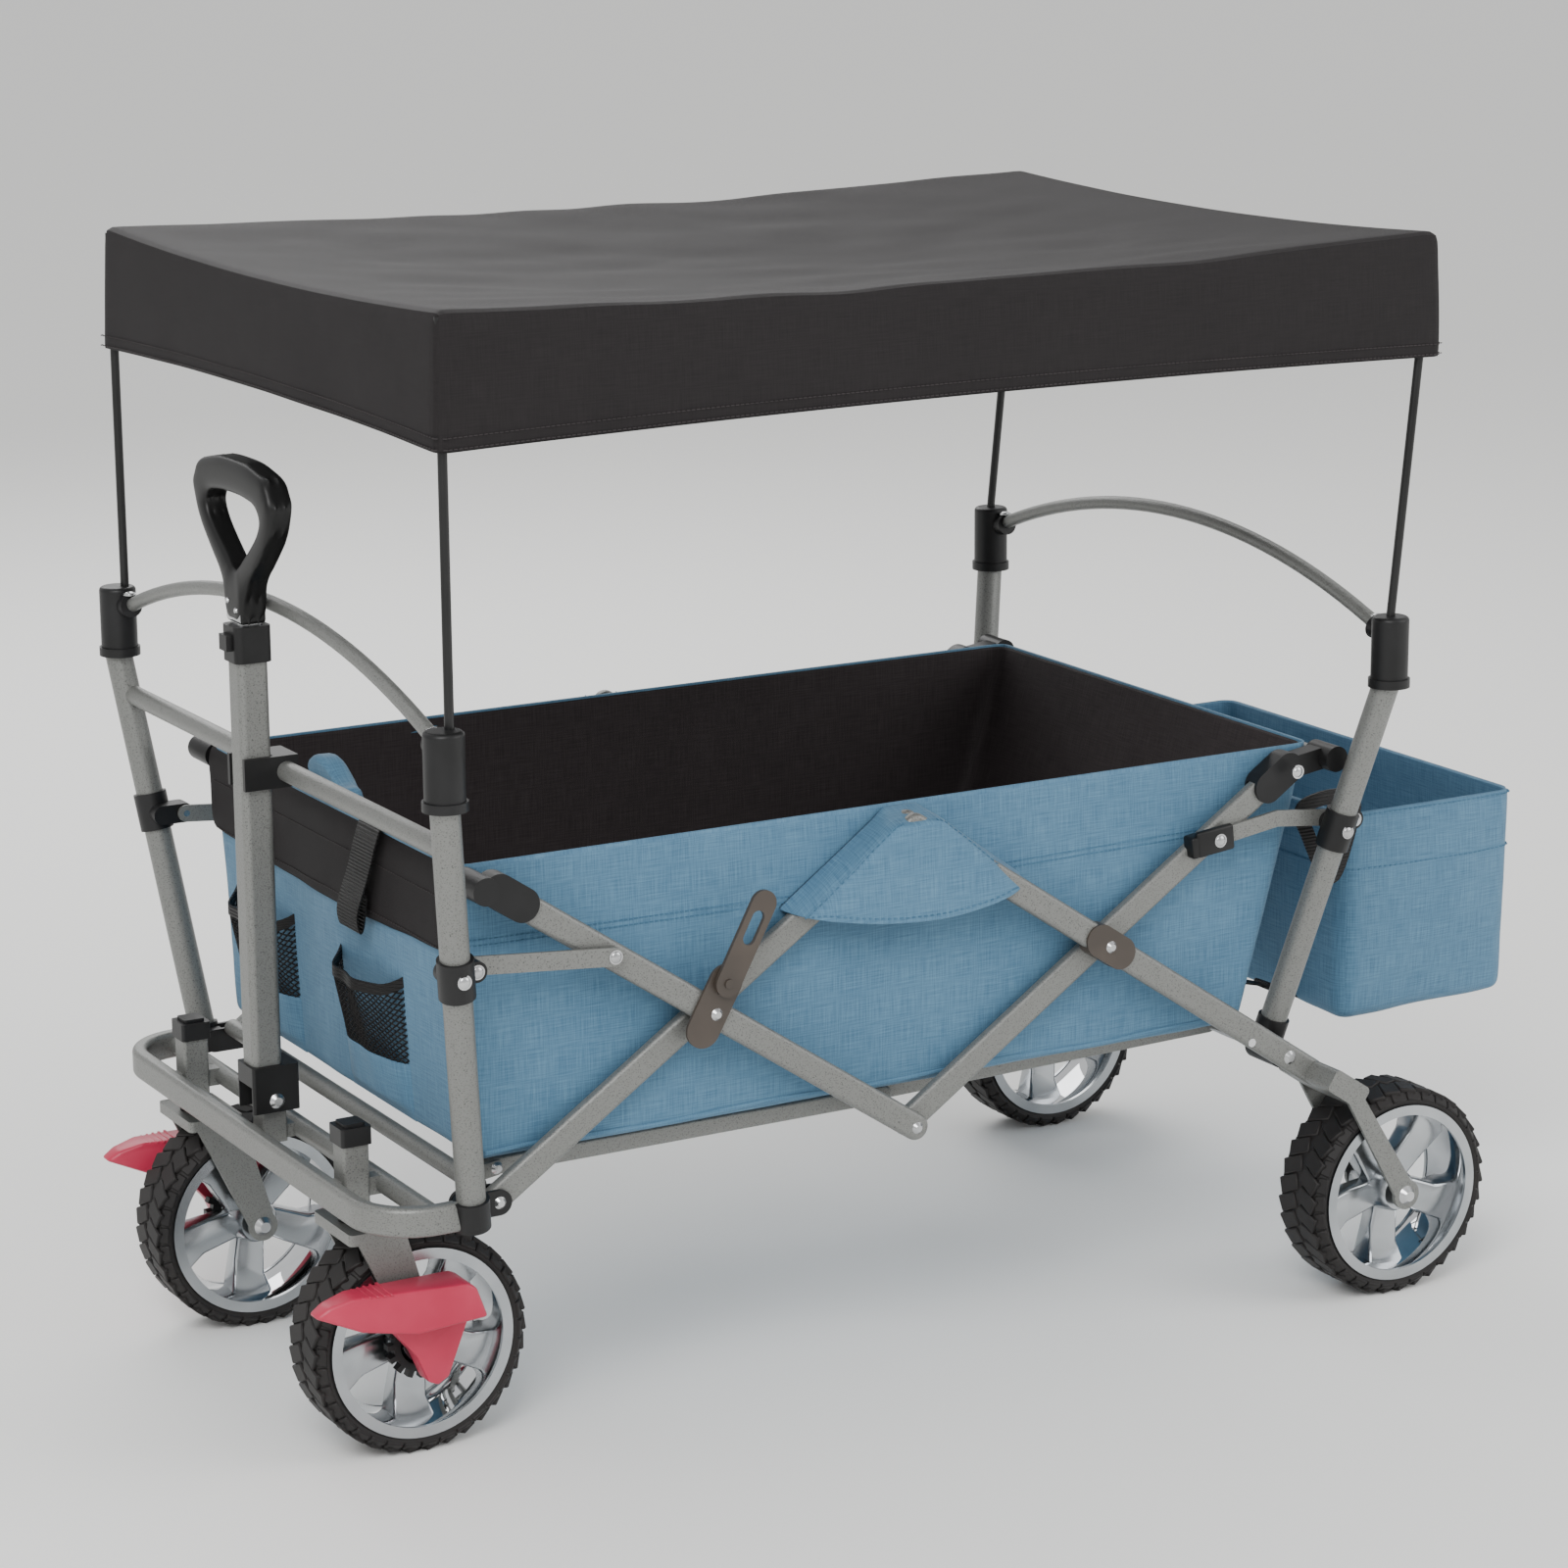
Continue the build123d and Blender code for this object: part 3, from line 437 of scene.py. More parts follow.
def spun(
    bm: bmesh.types.BMesh, profile: Sequence[Flat], centre: Point, steps: int
) -> list[bmesh.types.BMVert]:
    """Turn a closed section about an axis along Y.

    Args:
        bm: The mesh that takes the ring.
        profile: Corners of the section, as radius and distance along Y.
        centre: A point on the axis.
        steps: How many faces go round.

    Returns:
        The ring's vertices.
    """
    before = set(bm.verts)
    ring = [bm.verts.new((centre[0], centre[1] + along, centre[2] + radius)) for radius, along in profile]
    edges = [bm.edges.new((a, b)) for a, b in zip(ring, ring[1:] + ring[:1])]
    bmesh.ops.spin(
        bm, geom=ring + edges, cent=centre, axis=(0, 1, 0), angle=2 * math.pi, steps=steps, use_merge=True
    )
    return [v for v in bm.verts if v not in before]


def paint(verts: Iterable[bmesh.types.BMVert], number: int) -> None:
    """Give the faces around some vertices a material number."""
    for face in {f for v in verts if v.is_valid for f in v.link_faces}:
        face.material_index = number


def face_out(
    bm: bmesh.types.BMesh, direction: Point, faces: Iterable[bmesh.types.BMFace] | None = None
) -> None:
    """Turn an open sheet so that its outer face looks in a direction.

    Args:
        bm: The sheet.
        direction: Where its outer face looks, on the whole.
        faces: The faces that are asked, all of them where none are given.
    """
    bmesh.ops.recalc_face_normals(bm, faces=bm.faces)
    bm.normal_update()
    asked = bm.faces if faces is None else faces
    if sum(face.normal.dot(direction) for face in asked) < 0:
        bmesh.ops.reverse_faces(bm, faces=bm.faces)
        bm.normal_update()


def lay_weave(bm: bmesh.types.BMesh) -> None:
    """Lay the thread directions on every face, in metres, along the two axes that it faces least."""
    layer = bm.loops.layers.uv.new("weave")
    for face in bm.faces:
        facing = max(range(3), key=lambda axis: abs(face.normal[axis]))
        across, up = [axis for axis in range(3) if axis != facing]
        for loop in face.loops:
            loop[layer].uv = (loop.vert.co[across], loop.vert.co[up])


def crease_sharp(bm: bmesh.types.BMesh, angle: float) -> None:
    """Shade faces smooth except across edges sharper than an angle in degrees."""
    limit = math.radians(angle)
    for face in bm.faces:
        face.smooth = True
    for edge in bm.edges:
        edge.smooth = len(edge.link_faces) == 2 and edge.calc_face_angle(0.0) < limit


def make_piece(
    bm: bmesh.types.BMesh,
    name: str,
    finishes: Sequence[Finish],
    body: str,
    stands_for: Sequence[str] = (),
    angle: float = 38.0,
) -> bpy.types.Object:
    """Turn a mesh into a piece that rides on a body.

    Args:
        bm: The mesh, which is freed.
        name: The piece's name.
        finishes: Its finishes, in the order of its faces' material numbers.
        body: The CAD body that carries it.
        stands_for: The CAD nodes that it stands for.
        angle: The sharpest edge in degrees that is shaded smooth.

    Returns:
        The new object.
    """
    crease_sharp(bm, angle)
    lay_weave(bm)
    mesh = bpy.data.meshes.new(name)
    bm.to_mesh(mesh)
    bm.free()
    for finish in finishes:
        mesh.materials.append(finish.build())
    piece = bpy.data.objects.new(name, mesh)
    bpy.context.scene.collection.objects.link(piece)
    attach(piece, body)
    if stands_for:
        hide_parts(*stands_for)
    log.info("%s: %d faces on %s", name, len(mesh.polygons), body)
    return piece


def thicken(piece: bpy.types.Object, thickness: float, levels: int = 1, offset: float = -1.0) -> None:
    """Give a sheet its thickness and round it.

    Args:
        piece: The sheet.
        thickness: Its thickness in metres.
        levels: Subdivision levels, the same in the view and the render.
        offset: Where the second face lies, from -1, inside, to 1, outside.
    """
    solid = piece.modifiers.new("thickness", "SOLIDIFY")
    solid.thickness, solid.offset = thickness, offset
    if levels:
        round_off = piece.modifiers.new("rounding", "SUBSURF")
        round_off.levels = round_off.render_levels = levels


# A stitch shows 0.72 of its pitch as thread, which is flattened to 0.9 by 0.8 mm where it is pulled down.
STITCH_PITCH = 4.4 * MM
STITCH = (0.72 * STITCH_PITCH, 0.9 * MM, 0.8 * MM)
STITCH_LIFT = 0.35 * MM


def sew(
    surface: BVHTree, path: Sequence[Vector], name: str, finish: Finish, body: str
) -> bpy.types.Object:
    """Lay a row of stitches along a path on a surface.

    Args:
        surface: The cloth, to which each stitch is moved.
        path: Points near the cloth, a straight run apart.
        name: The piece's name.
        finish: The thread.
        body: The CAD body that carries it.

    Returns:
        The row as one piece.
    """
    bm = bmesh.new()
    for start, end in zip(path, path[1:]):
        count = max(1, int((end - start).length / STITCH_PITCH))
        for number in range(count):
            spot, normal, _, _ = surface.find_nearest(start.lerp(end, (number + 0.5) / count))
            along = (end - start).normalized()
            across = normal.cross(along).normalized()
            turn = Matrix((along, across, normal)).transposed().to_4x4()
            solid_box(bm, STITCH, tuple(spot + normal * STITCH_LIFT), turn)
    return make_piece(bm, name, [finish], body)


def ribbon(
    bm: bmesh.types.BMesh,
    path: Sequence[Point],
    across: Vector,
    width: float,
    thickness: float,
    facing: bool = False,
) -> list[bmesh.types.BMVert]:
    """Lay a flat strap along a path.

    Args:
        bm: The mesh that takes it.
        path: The points of its middle line.
        across: The direction of its width, or of its face where facing is true.
        width: Its width.
        thickness: Its thickness.
        facing: Whether across is the direction of its face.

    Returns:
        Its vertices.
    """
    earlier = set(bm.verts)
    points = [Vector(p) for p in path]
    cap, last = None, []
    for number, point in enumerate(points):
        before, after = points[max(number - 1, 0)], points[min(number + 1, len(points) - 1)]
        other = (after - before).cross(across).normalized()
        normal = (across.normalized() if facing else other) * thickness / 2
        side = (other if facing else across.normalized()) * width / 2
        section = [point + a * side + b * normal for a, b in ((-1, -1), (1, -1), (1, 1), (-1, 1))]
        if cap is None:
            cap = bm.faces.new([bm.verts.new(corner) for corner in section])
        else:
            grown = bmesh.ops.extrude_face_region(bm, geom=[cap])["geom"]
            if number > 1:
                bmesh.ops.delete(bm, geom=[cap], context="FACES_ONLY")
            cap = next(g for g in grown if isinstance(g, bmesh.types.BMFace))
            for v in cap.verts:
                v.co = section[min(range(4), key=lambda k: (v.co - last[k]).length)]
        last = section
    verts = [v for v in bm.verts if v not in earlier]
    bmesh.ops.recalc_face_normals(bm, faces=list({f for v in verts for f in v.link_faces}))
    return verts


def smooth_path(points: Sequence[Point], cuts: int = 6) -> list[Point]:
    """Pass a smooth line through points.

    Args:
        points: The points that it passes through.
        cuts: How many short runs replace each run.

    Returns:
        The points of the smooth line.
    """
    ends = [points[0], *points, points[-1]]
    line = []
    for a, b, c, d in zip(ends, ends[1:], ends[2:], ends[3:]):
        for step in range(cuts):
            t = step / cuts
            weights = (
                -0.5 * t + t**2 - 0.5 * t**3,
                1 - 2.5 * t**2 + 1.5 * t**3,
                0.5 * t + 2 * t**2 - 1.5 * t**3,
                -0.5 * t**2 + 0.5 * t**3,
            )
            line.append(tuple(sum(w * p[k] for w, p in zip(weights, (a, b, c, d))) for k in range(3)))
    return [*line, tuple(points[-1])]


def rumple(point: Vector, wave: float, seed: float) -> float:
    """Give a soft uneven value from -1 to 1 for a point.

    Args:
        point: The place, in metres.
        wave: The size of one swell, in metres.
        seed: A number that picks one pattern.

    Returns:
        The value.
    """
    return noise.noise(point / wave + Vector((seed, seed * 1.7, seed * 0.3)))


def ease(value: float) -> float:
    """Rise smoothly from 0 to 1 as value does."""
    held = min(1.0, max(0.0, value))
    return held * held * (3 - 2 * held)


def cut_levels(bm: bmesh.types.BMesh, axis: int, low: float, high: float, count: int) -> None:
    """Cut a mesh at evenly spaced levels along an axis.

    Args:
        bm: The mesh.
        axis: The axis number.
        low: The start of the stretch that is divided.
        high: Its end.
        count: How many parts it is divided into.
    """
    normal = Vector((0, 0, 0))
    normal[axis] = 1.0
    for number in range(1, count):
        level = normal * (low + (high - low) * number / count)
        geom = bm.verts[:] + bm.edges[:] + bm.faces[:]
        bmesh.ops.bisect_plane(bm, geom=geom, plane_co=level, plane_no=normal, dist=1e-6)


# ------------------------------------------------------------------ open cloth boxes
@dataclass
class ClothBox:
    """An open cloth box whose walls may lean, as a tub or a bag has."""

    low: Point
    high: Point
    front_lean: float = 0.0
    rear_lean: float = 0.0
    corner: float = 0.014
    foot: float = 0.008
    bulge: float = 0.004
    sag: float = 0.006
    wrinkle: float = 0.002
    seed: float = 1.0
    flare: float = 0.0

    def build(self) -> bmesh.types.BMesh:
        """Shape the sheet.

        Returns:
            The sheet, with its normals outwards and its top open.
        """
        bm = bmesh.new()
        size = tuple(h - l for l, h in zip(self.low, self.high))
        centre = tuple((h + l) / 2 for l, h in zip(self.low, self.high))
        solid_box(bm, size, centre)
        lid = [f for f in bm.faces if f.normal.z > 0.9]
        bmesh.ops.delete(bm, geom=lid, context="FACES")
        upright = [e for e in bm.edges if abs((e.verts[0].co - e.verts[1].co).z) > size[2] / 2]
        soften(bm, upright, self.corner, 5)
        base = [e for e in bm.edges if all(abs(v.co.z - self.low[2]) < 1e-6 for v in e.verts)]
        soften(bm, base, self.foot, 3)
        for axis, pace in ((0, 0.018), (1, 0.020), (2, 0.018)):
            cut_levels(bm, axis, self.low[axis], self.high[axis], max(4, round(size[axis] / pace)))
        bmesh.ops.remove_doubles(bm, verts=bm.verts, dist=1e-5)
        bmesh.ops.recalc_face_normals(bm, faces=bm.faces)
        bm.normal_update()
        self.settle(bm)
        return bm

    def settle(self, bm: bmesh.types.BMesh) -> None:
        """Lean the walls, and let the cloth bulge, sag and crease.

        Args:
            bm: The sheet.
        """
        height = self.high[2] - self.low[2]
        middle = [(h + l) / 2 for l, h in zip(self.low, self.high)]
        half = [(h - l) / 2 for l, h in zip(self.low, self.high)]
        for v in bm.verts:
            up = (v.co.z - self.low[2]) / height
            share = (v.co.x - self.low[0]) / (2 * half[0])
            u, w = (v.co.x - middle[0]) / half[0], (v.co.y - middle[1]) / half[1]
            normal = v.normal.copy()
            held = math.sin(math.pi * min(1.0, max(0.0, up))) if abs(normal.z) < 0.7 else 0.0
            reach = 1 - (u * u if abs(normal.y) > 0.6 else w * w)
            swell = self.bulge * held * max(0.0, reach)
            fade = ease((1 - up) * 6)
            crease = self.wrinkle * fade * rumple(Vector((v.co.x, v.co.y, v.co.z * 0.45)), 0.085, self.seed)
            fine = 0.35 * self.wrinkle * fade * rumple(v.co, 0.03, self.seed + 5)
            v.co += normal * (swell + crease + fine)
            if abs(normal.z) > 0.7:
                v.co.z -= self.sag * max(0.0, 1 - u * u) * max(0.0, 1 - w * w)
            v.co.x += self.front_lean * up * (1 - share) + self.rear_lean * up * share
            v.co.y *= 1 + self.flare * up
            v.co.x = middle[0] + (v.co.x - middle[0]) * (1 + self.flare * up)

    def flat(self) -> tuple[tuple[float, float], float]:
        """Work out the cut.

        Returns:
            The flat width and length, and the area of the cross-shaped cut.
        """
        long = self.high[0] - self.low[0] + (self.rear_lean - self.front_lean) / 2
        wide, tall = self.high[1] - self.low[1], self.high[2] - self.low[2]
        area = (self.high[0] - self.low[0]) * wide + 2 * tall * (long + wide)
        return (wide + 2 * tall, long + 2 * tall), area


# ------------------------------------------------------------------ wheels
@dataclass
class Wheel:
    """A moulded wheel with a block tread."""

    tyre: str
    rim: str
    body: str
    blocks: int = 34
    carcass: float = 0.0972
    block: Flat = (0.0158, 0.0052)
    lug: Point = (0.0150, 0.0095, 0.0060)
    spokes: int = 5
    steps: int = 96

    def place(self) -> tuple[Point, float, float, float]:
        """Read the wheel's place from the frame.

        Returns:
            Its centre, outer radius, half width and rim radius.
        """
        low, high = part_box(self.tyre)
        rim_low, rim_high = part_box(self.rim)
        centre = tuple((l + h) / 2 for l, h in zip(low, high))
        return centre, (high[0] - low[0]) / 2, (high[1] - low[1]) / 2, (rim_high[0] - rim_low[0]) / 2

    def make_tyre(self) -> None:
        """Spin the carcass and set slanting tread blocks round it."""
        centre, radius, half, seat = self.place()
        bm = bmesh.new()
        shoulder = radius - self.carcass
        wall = [
            (seat, half - 0.004), (seat + 0.004, half - 0.001), (self.carcass - 0.008, half - 0.001),
            (self.carcass - 0.002, half - 0.006), (self.carcass, half - 0.014),
        ]
        near = [(out, -along) for out, along in wall]
        spun(bm, [*near, (self.carcass + shoulder * 0.3, 0.0), *reversed(wall)], centre, self.steps)
        pace = 2 * math.pi / self.blocks
        for number in range(self.blocks):
            for sign in (-1, 1):
                angle = pace * (number + 0.25 * sign)
                turn = Matrix.Rotation(angle, 4, "Y") @ Matrix.Rotation(sign * math.radians(24), 4, "Z")
                spot = Matrix.Translation(centre) @ Matrix.Rotation(angle, 4, "Y")
                middle = spot @ Vector((0, sign * half * 0.43, radius - 0.0031))
                block = solid_box(bm, (self.block[0], half * 0.80, self.block[1]), tuple(middle), turn)
                soften(bm, edges_of(block), 0.0011, 1)
                lug_place = spot @ Vector((0, sign * (half - 0.0050), radius - 0.0082))
                lug_turn = Matrix.Rotation(angle, 4, "Y") @ Matrix.Rotation(-sign * math.radians(40), 4, "X")
                lug = solid_box(bm, self.lug, tuple(lug_place), lug_turn)
                soften(bm, edges_of(lug), 0.001, 1)
        bmesh.ops.recalc_face_normals(bm, faces=bm.faces)
        make_piece(bm, f"{self.tyre}_tread", [RUBBER], self.body, [self.tyre])

    def make_rim(self) -> None:
        """Build the barrel, its satin rings, the five broad spokes and the hub."""
        centre, _, half, seat = self.place()
        bm = bmesh.new()
        inner = seat - 0.0075
        barrel = [
            (seat, -half + 0.003), (inner, -half + 0.003), (inner - 0.002, -half + 0.010),
            (inner - 0.005, 0.0),
            (inner - 0.002, half - 0.010), (inner, half - 0.003), (seat, half - 0.003),
        ]
        spun(bm, barrel, centre, self.steps)
        for sign in (-1, 1):
            ring = [
                (seat + 0.001, sign * (half - 0.004)),
                (inner - 0.001, sign * (half - 0.004)),
                (inner - 0.001, sign * (half - 0.0005)),
                (seat + 0.001, sign * (half - 0.0005)),
            ]
            paint(spun(bm, ring, centre, self.steps), 1)
        spoke = [
            (0.012, -0.013), (0.040, -0.019), (0.0765, -0.024),
            (0.0765, 0.017), (0.055, 0.010), (0.012, 0.013),
        ]
        for number in range(self.spokes):
            before = set(bm.verts)
            prism(bm, spoke, Drawn.SIDE, -0.009, 0.009)
            verts = [v for v in bm.verts if v not in before]
            soften(bm, edges_of(verts), 0.0032, 3)
            verts = [v for v in bm.verts if v not in before]
            for v in verts:
                v.co.y *= 1 + 0.8 * ease((v.co.x - 0.03) / 0.05)
            angle = 2 * math.pi * number / self.spokes + 0.3
            turn = Matrix.Translation(centre) @ Matrix.Rotation(angle, 4, "Y")
            bmesh.ops.transform(bm, matrix=turn, verts=verts)
            paint(verts, 1)
        near_hub = [(0.0062, -0.028), (0.017, -0.028), (0.0195, -0.024), (0.0225, -0.009)]
        hub = near_hub + [(out, -along) for out, along in reversed(near_hub)]
        paint(spun(bm, hub, centre, 40), 1)
        bmesh.ops.recalc_face_normals(bm, faces=bm.faces)
        plated = [CHROME, SATIN]
        make_piece(bm, f"{self.rim}_spoked", plated, self.body, [self.rim], angle=30.0)


# ------------------------------------------------------------------ brake pedals
@dataclass
class BrakePedal:
    """A red foot pedal with a ribbed tip on a three-cornered leg."""

    side: Side
    ribs: int = 9
    tip_share: float = 0.42
    taper_run: float = 0.075

    def share_of_width(self, from_tip: float) -> float:
        """Say how much of the pedal's full width it has at a distance from its tip."""
        return self.tip_share + (1 - self.tip_share) * ease(from_tip / self.taper_run)

    def build(self) -> None:
        """Make the pedal from its side outline, narrowed to its tip."""
        node = f"brake_pedal_{self.side.name.lower()}"
        low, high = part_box(node)
        axle_low, axle_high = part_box(f"front_axle_{self.side.name.lower()}")
        x, z = (axle_low[0] + axle_high[0]) / 2, (axle_low[2] + axle_high[2]) / 2
        inner, outer = sorted((low[1], high[1]), key=abs)
        sign = self.side.value
        tip, top, heel = low[0] - x, high[2] - z, high[0] - x
        bm = bmesh.new()
        tread = [
            (tip, top - 0.013), (tip + 0.012, top - 0.005), (tip + 0.034, top),
            (heel - 0.018, top - 0.003), (heel - 0.010, top - 0.008), (heel, top - 0.036),
            (heel - 0.065, top - 0.040), (tip + 0.040, top - 0.031),
        ]
        prism(bm, [(x + u, z + w) for u, w in tread], Drawn.SIDE, inner, outer)
        bmesh.ops.recalc_face_normals(bm, faces=bm.faces)
        middle = (inner + outer) / 2
        for v in bm.verts:
            v.co.y = middle + (v.co.y - middle) * self.share_of_width(v.co.x - low[0])
        soften(bm, bm.edges[:], 0.0035, 3)
        leg = [
            (-0.062, 0.036), (0.034, 0.036), (0.030, 0.028), (0.010, -0.022),
            (0.0, -0.028), (-0.009, -0.024), (-0.020, 0.002), (-0.038, 0.024),
        ]
        verts = prism(bm, [(x + u, z + w) for u, w in leg], Drawn.SIDE, inner, inner + sign * 0.0205)
        soften(bm, edges_of(verts), 0.002, 2)
        for number in range(self.ribs):
            along = low[0] + 0.017 + 0.0062 * number
            wide = abs(outer - inner) * self.share_of_width(along - low[0]) * 0.82
            lift = z + top - 0.0148 + 0.0135 * min(1.0, (along - low[0] + 0.001) / 0.034)
            rib = solid_box(bm, (0.0026, wide, 0.0022), (along, middle, lift))
            soften(bm, edges_of(rib), 0.0006, 1)
        bmesh.ops.recalc_face_normals(bm, faces=bm.faces)
        make_piece(bm, f"{node}_ribbed", [PEDAL_RED], f"pedal_{self.side.name.lower()}", [node])


# ------------------------------------------------------------------ pull handle
@dataclass
class PullGrip:
    """The D-shaped grip of the pull handle, whose sides run down into its neck."""

    body: str = "handle_slide"
    slices: int = 3

    def build(self) -> None:
        """Bridge the loop's two outlines, thicken it and add the rivets."""
        low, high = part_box("handle_grip")
        base, front, back = low[2], low[0] + 0.002, high[0] - 0.002
        outer = [
            (0.0172, 0.0), (0.0185, 0.022), (0.029, 0.040), (0.055, 0.062),
            (0.079, 0.088), (0.0855, 0.110), (0.071, 0.133), (0.027, 0.1415),
        ]
        inner = [
            (0.0035, 0.0465), (0.009, 0.0495), (0.020, 0.0585), (0.038, 0.0715),
            (0.0555, 0.0865), (0.0605, 0.0995), (0.050, 0.1085), (0.019, 0.1120),
        ]
        bm = bmesh.new()
        edges = []
        for outline in (outer, inner):
            ring = [(y, z) for y, z in outline] + [(-y, z) for y, z in reversed(outline)]
            corners = [bm.verts.new((front, y, base + z)) for y, z in ring]
            edges += [bm.edges.new((a, b)) for a, b in zip(corners, corners[1:] + corners[:1])]
        bmesh.ops.bridge_loops(bm, edges=edges)
        slice_deep = (back - front) / self.slices
        for step in range(self.slices):
            level = front + slice_deep * step
            skin = [f for f in bm.faces if all(abs(v.co.x - level) < 1e-6 for v in f.verts)]
            grown = bmesh.ops.extrude_face_region(bm, geom=skin)["geom"]
            moved = [v for v in grown if isinstance(v, bmesh.types.BMVert)]
            bmesh.ops.translate(bm, verts=moved, vec=(slice_deep, 0, 0))
            if step:
                bmesh.ops.delete(bm, geom=[f for f in skin if f.is_valid], context="FACES_ONLY")
        bmesh.ops.recalc_face_normals(bm, faces=bm.faces)
        bmesh.ops.subdivide_edges(bm, edges=[e for e in bm.edges if e.calc_length() > 0.025], cuts=1,
                                  use_grid_fill=True)
        for _ in range(2):
            bmesh.ops.smooth_vert(bm, verts=[v for v in bm.verts if v.co.z > base + 0.030], factor=0.22,
                                  use_axis_x=True, use_axis_y=False, use_axis_z=False)
        grip = make_piece(bm, "pull_grip", [GRIP_ABS], self.body, ["handle_grip"], angle=70.0)
        rounding = grip.modifiers.new("rounding", "SUBSURF")
        rounding.levels = rounding.render_levels = 3
        bm = bmesh.new()
        for y, z in ((-0.009, 0.012), (0.009, 0.018)):
            place = Matrix.Translation((front, y, base + z)) @ Matrix.Rotation(-math.pi / 2, 4, "Y")
            bmesh.ops.create_cone(
                bm, cap_ends=True, segments=20, radius1=0.0030, radius2=0.0020, depth=0.0024, matrix=place
            )
        block = solid_box(bm, (0.024, 0.033, 0.012), ((front + back) / 2, 0, base + 0.006))
        soften(bm, edges_of(block), 0.003, 3)
        for face in bm.faces:
            if face.calc_center_median().x > front + 0.0018:
                face.material_index = 1
        bmesh.ops.recalc_face_normals(bm, faces=bm.faces)
        make_piece(bm, "grip_neck", [ZINC, GRIP_ABS], self.body)


# ------------------------------------------------------------------ canopy
@dataclass
class Canopy:
    """One sheet over four poles: a sagging roof and skirts with a double-stitched hem."""

    node: str = "canopy"
    body: str = "canopy_top"
    sag: float = 0.034
    edge_sag: float = 0.010
    hem_rise: float = 0.009
    taper: float = 0.016
    fold: float = 0.0024
    tug: float = 0.0035
    rows: int = 6
    keep: float = 0.4036
    hem_rows: Flat = (0.004, 0.013)

    def roof_drop(self, u: float, w: float) -> float:
        """Say how far the roof hangs below its corners at a place from -1 to 1 each way."""
        inner = max(0.0, 1 - abs(u) ** 2.2) * max(0.0, 1 - abs(w) ** 2.2)
        rim = max(1 - u * u, 0.0) * abs(w) ** 4 + max(1 - w * w, 0.0) * abs(u) ** 4
        return self.sag * inner + self.edge_sag * rim

    def build(self) -> None:
        """Shape the sheet, its hem and its seams."""
        low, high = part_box(self.node)
        tall = high[2] - low[2]
        middle, half_long = (low[0] + high[0]) / 2, (high[0] - low[0]) / 2
        bm = bmesh.new()
        bmesh.ops.create_grid(bm, x_segments=56, y_segments=40, size=1.0)
        outer = [e for e in bm.edges if e.is_boundary]
        level = {v: 0.0 for v in bm.verts}
        for number in range(self.rows):
            grown = bmesh.ops.extrude_edge_only(bm, edges=outer)["geom"]
            outer = [e for e in grown if isinstance(e, bmesh.types.BMEdge) and e.is_boundary]
            fresh = [v for v in grown if isinstance(v, bmesh.types.BMVert)]
            share = (number + 1) / self.rows
            level.update({v: share for v in fresh})
        for v, share in level.items():
            u, w = v.co.x, v.co.y
            half_wide = high[1] - self.taper * (u + 1) / 2
            along = 1 - (abs(w) if abs(u) > 0.999 else abs(u)) ** 2
            fold = self.fold * rumple(Vector((u, w, share * 0.4)) * 0.5, 0.16, 3.0)
            tug = self.tug * rumple(Vector((u + w, u - w, 0)) * 0.5, 0.12, 8.0) * (1 - share)
            hang = self.roof_drop(u, w) * (1 - 0.75 * share)
            roof = high[2] - 0.0012 - hang + tug * min(1.0, 4 * (1 - abs(u)))
            z = roof - share * (tall - 0.002) + share * self.hem_rise * max(0.0, along)
            inset = 0.004 * (1 - share) + fold * share
            v.co = Vector((
                middle + u * (half_long - (inset if abs(u) > 0.999 else 0.0)),
                w * (half_wide - (inset if abs(w) > 0.999 else 0.0)),
                z,
            ))
        bmesh.ops.recalc_face_normals(bm, faces=bm.faces)
        bm.normal_update()
        surface = BVHTree.FromBMesh(bm)
        piece = make_piece(bm, "canopy_sheet", [CHARCOAL], self.body, [self.node], angle=80.0)
        thicken(piece, 0.0014)
        hems = self.make_hem(surface, low, high, half_long, middle)
        for soft in [piece, *hems]:
            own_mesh(soft)

    def make_hem(
        self, surface: BVHTree, low: Vector, high: Vector, half_long: float, middle: float
    ) -> list[bpy.types.Object]:
        """Sew two rows along the lower hem.

        Args:
            surface: The sheet.
            low: The CAD node's lowest corner.
            high: Its highest corner.
            half_long: Half the length.
            middle: The X of the middle.

        Returns:
            The rows of stitches.
        """
        hems = []
        for number, rise in enumerate(self.hem_rows):
            path = []
            corners = [(-1, -1), (1, -1), (1, 1), (-1, 1), (-1, -1)]
            for (u0, w0), (u1, w1) in zip(corners, corners[1:]):
                for step in range(25):
                    t = 0.008 + 0.984 * step / 24
                    u, w = u0 + (u1 - u0) * t, w0 + (w1 - w0) * t
                    along = 1 - (abs(w) if abs(u) > 0.999 else abs(u)) ** 2
                    half_wide = high[1] - self.taper * (u + 1) / 2
                    lift = rise + self.hem_rise * max(0.0, along) - self.roof_drop(u, w) * 0.25
                    path.append(Vector((middle + u * half_long, w * half_wide, low[2] + lift)))
            name = f"canopy_hem_row_{number + 1}"
            hems.append(sew(surface, [*path, path[0]], name, BLACK_THREAD, self.body))
        return hems


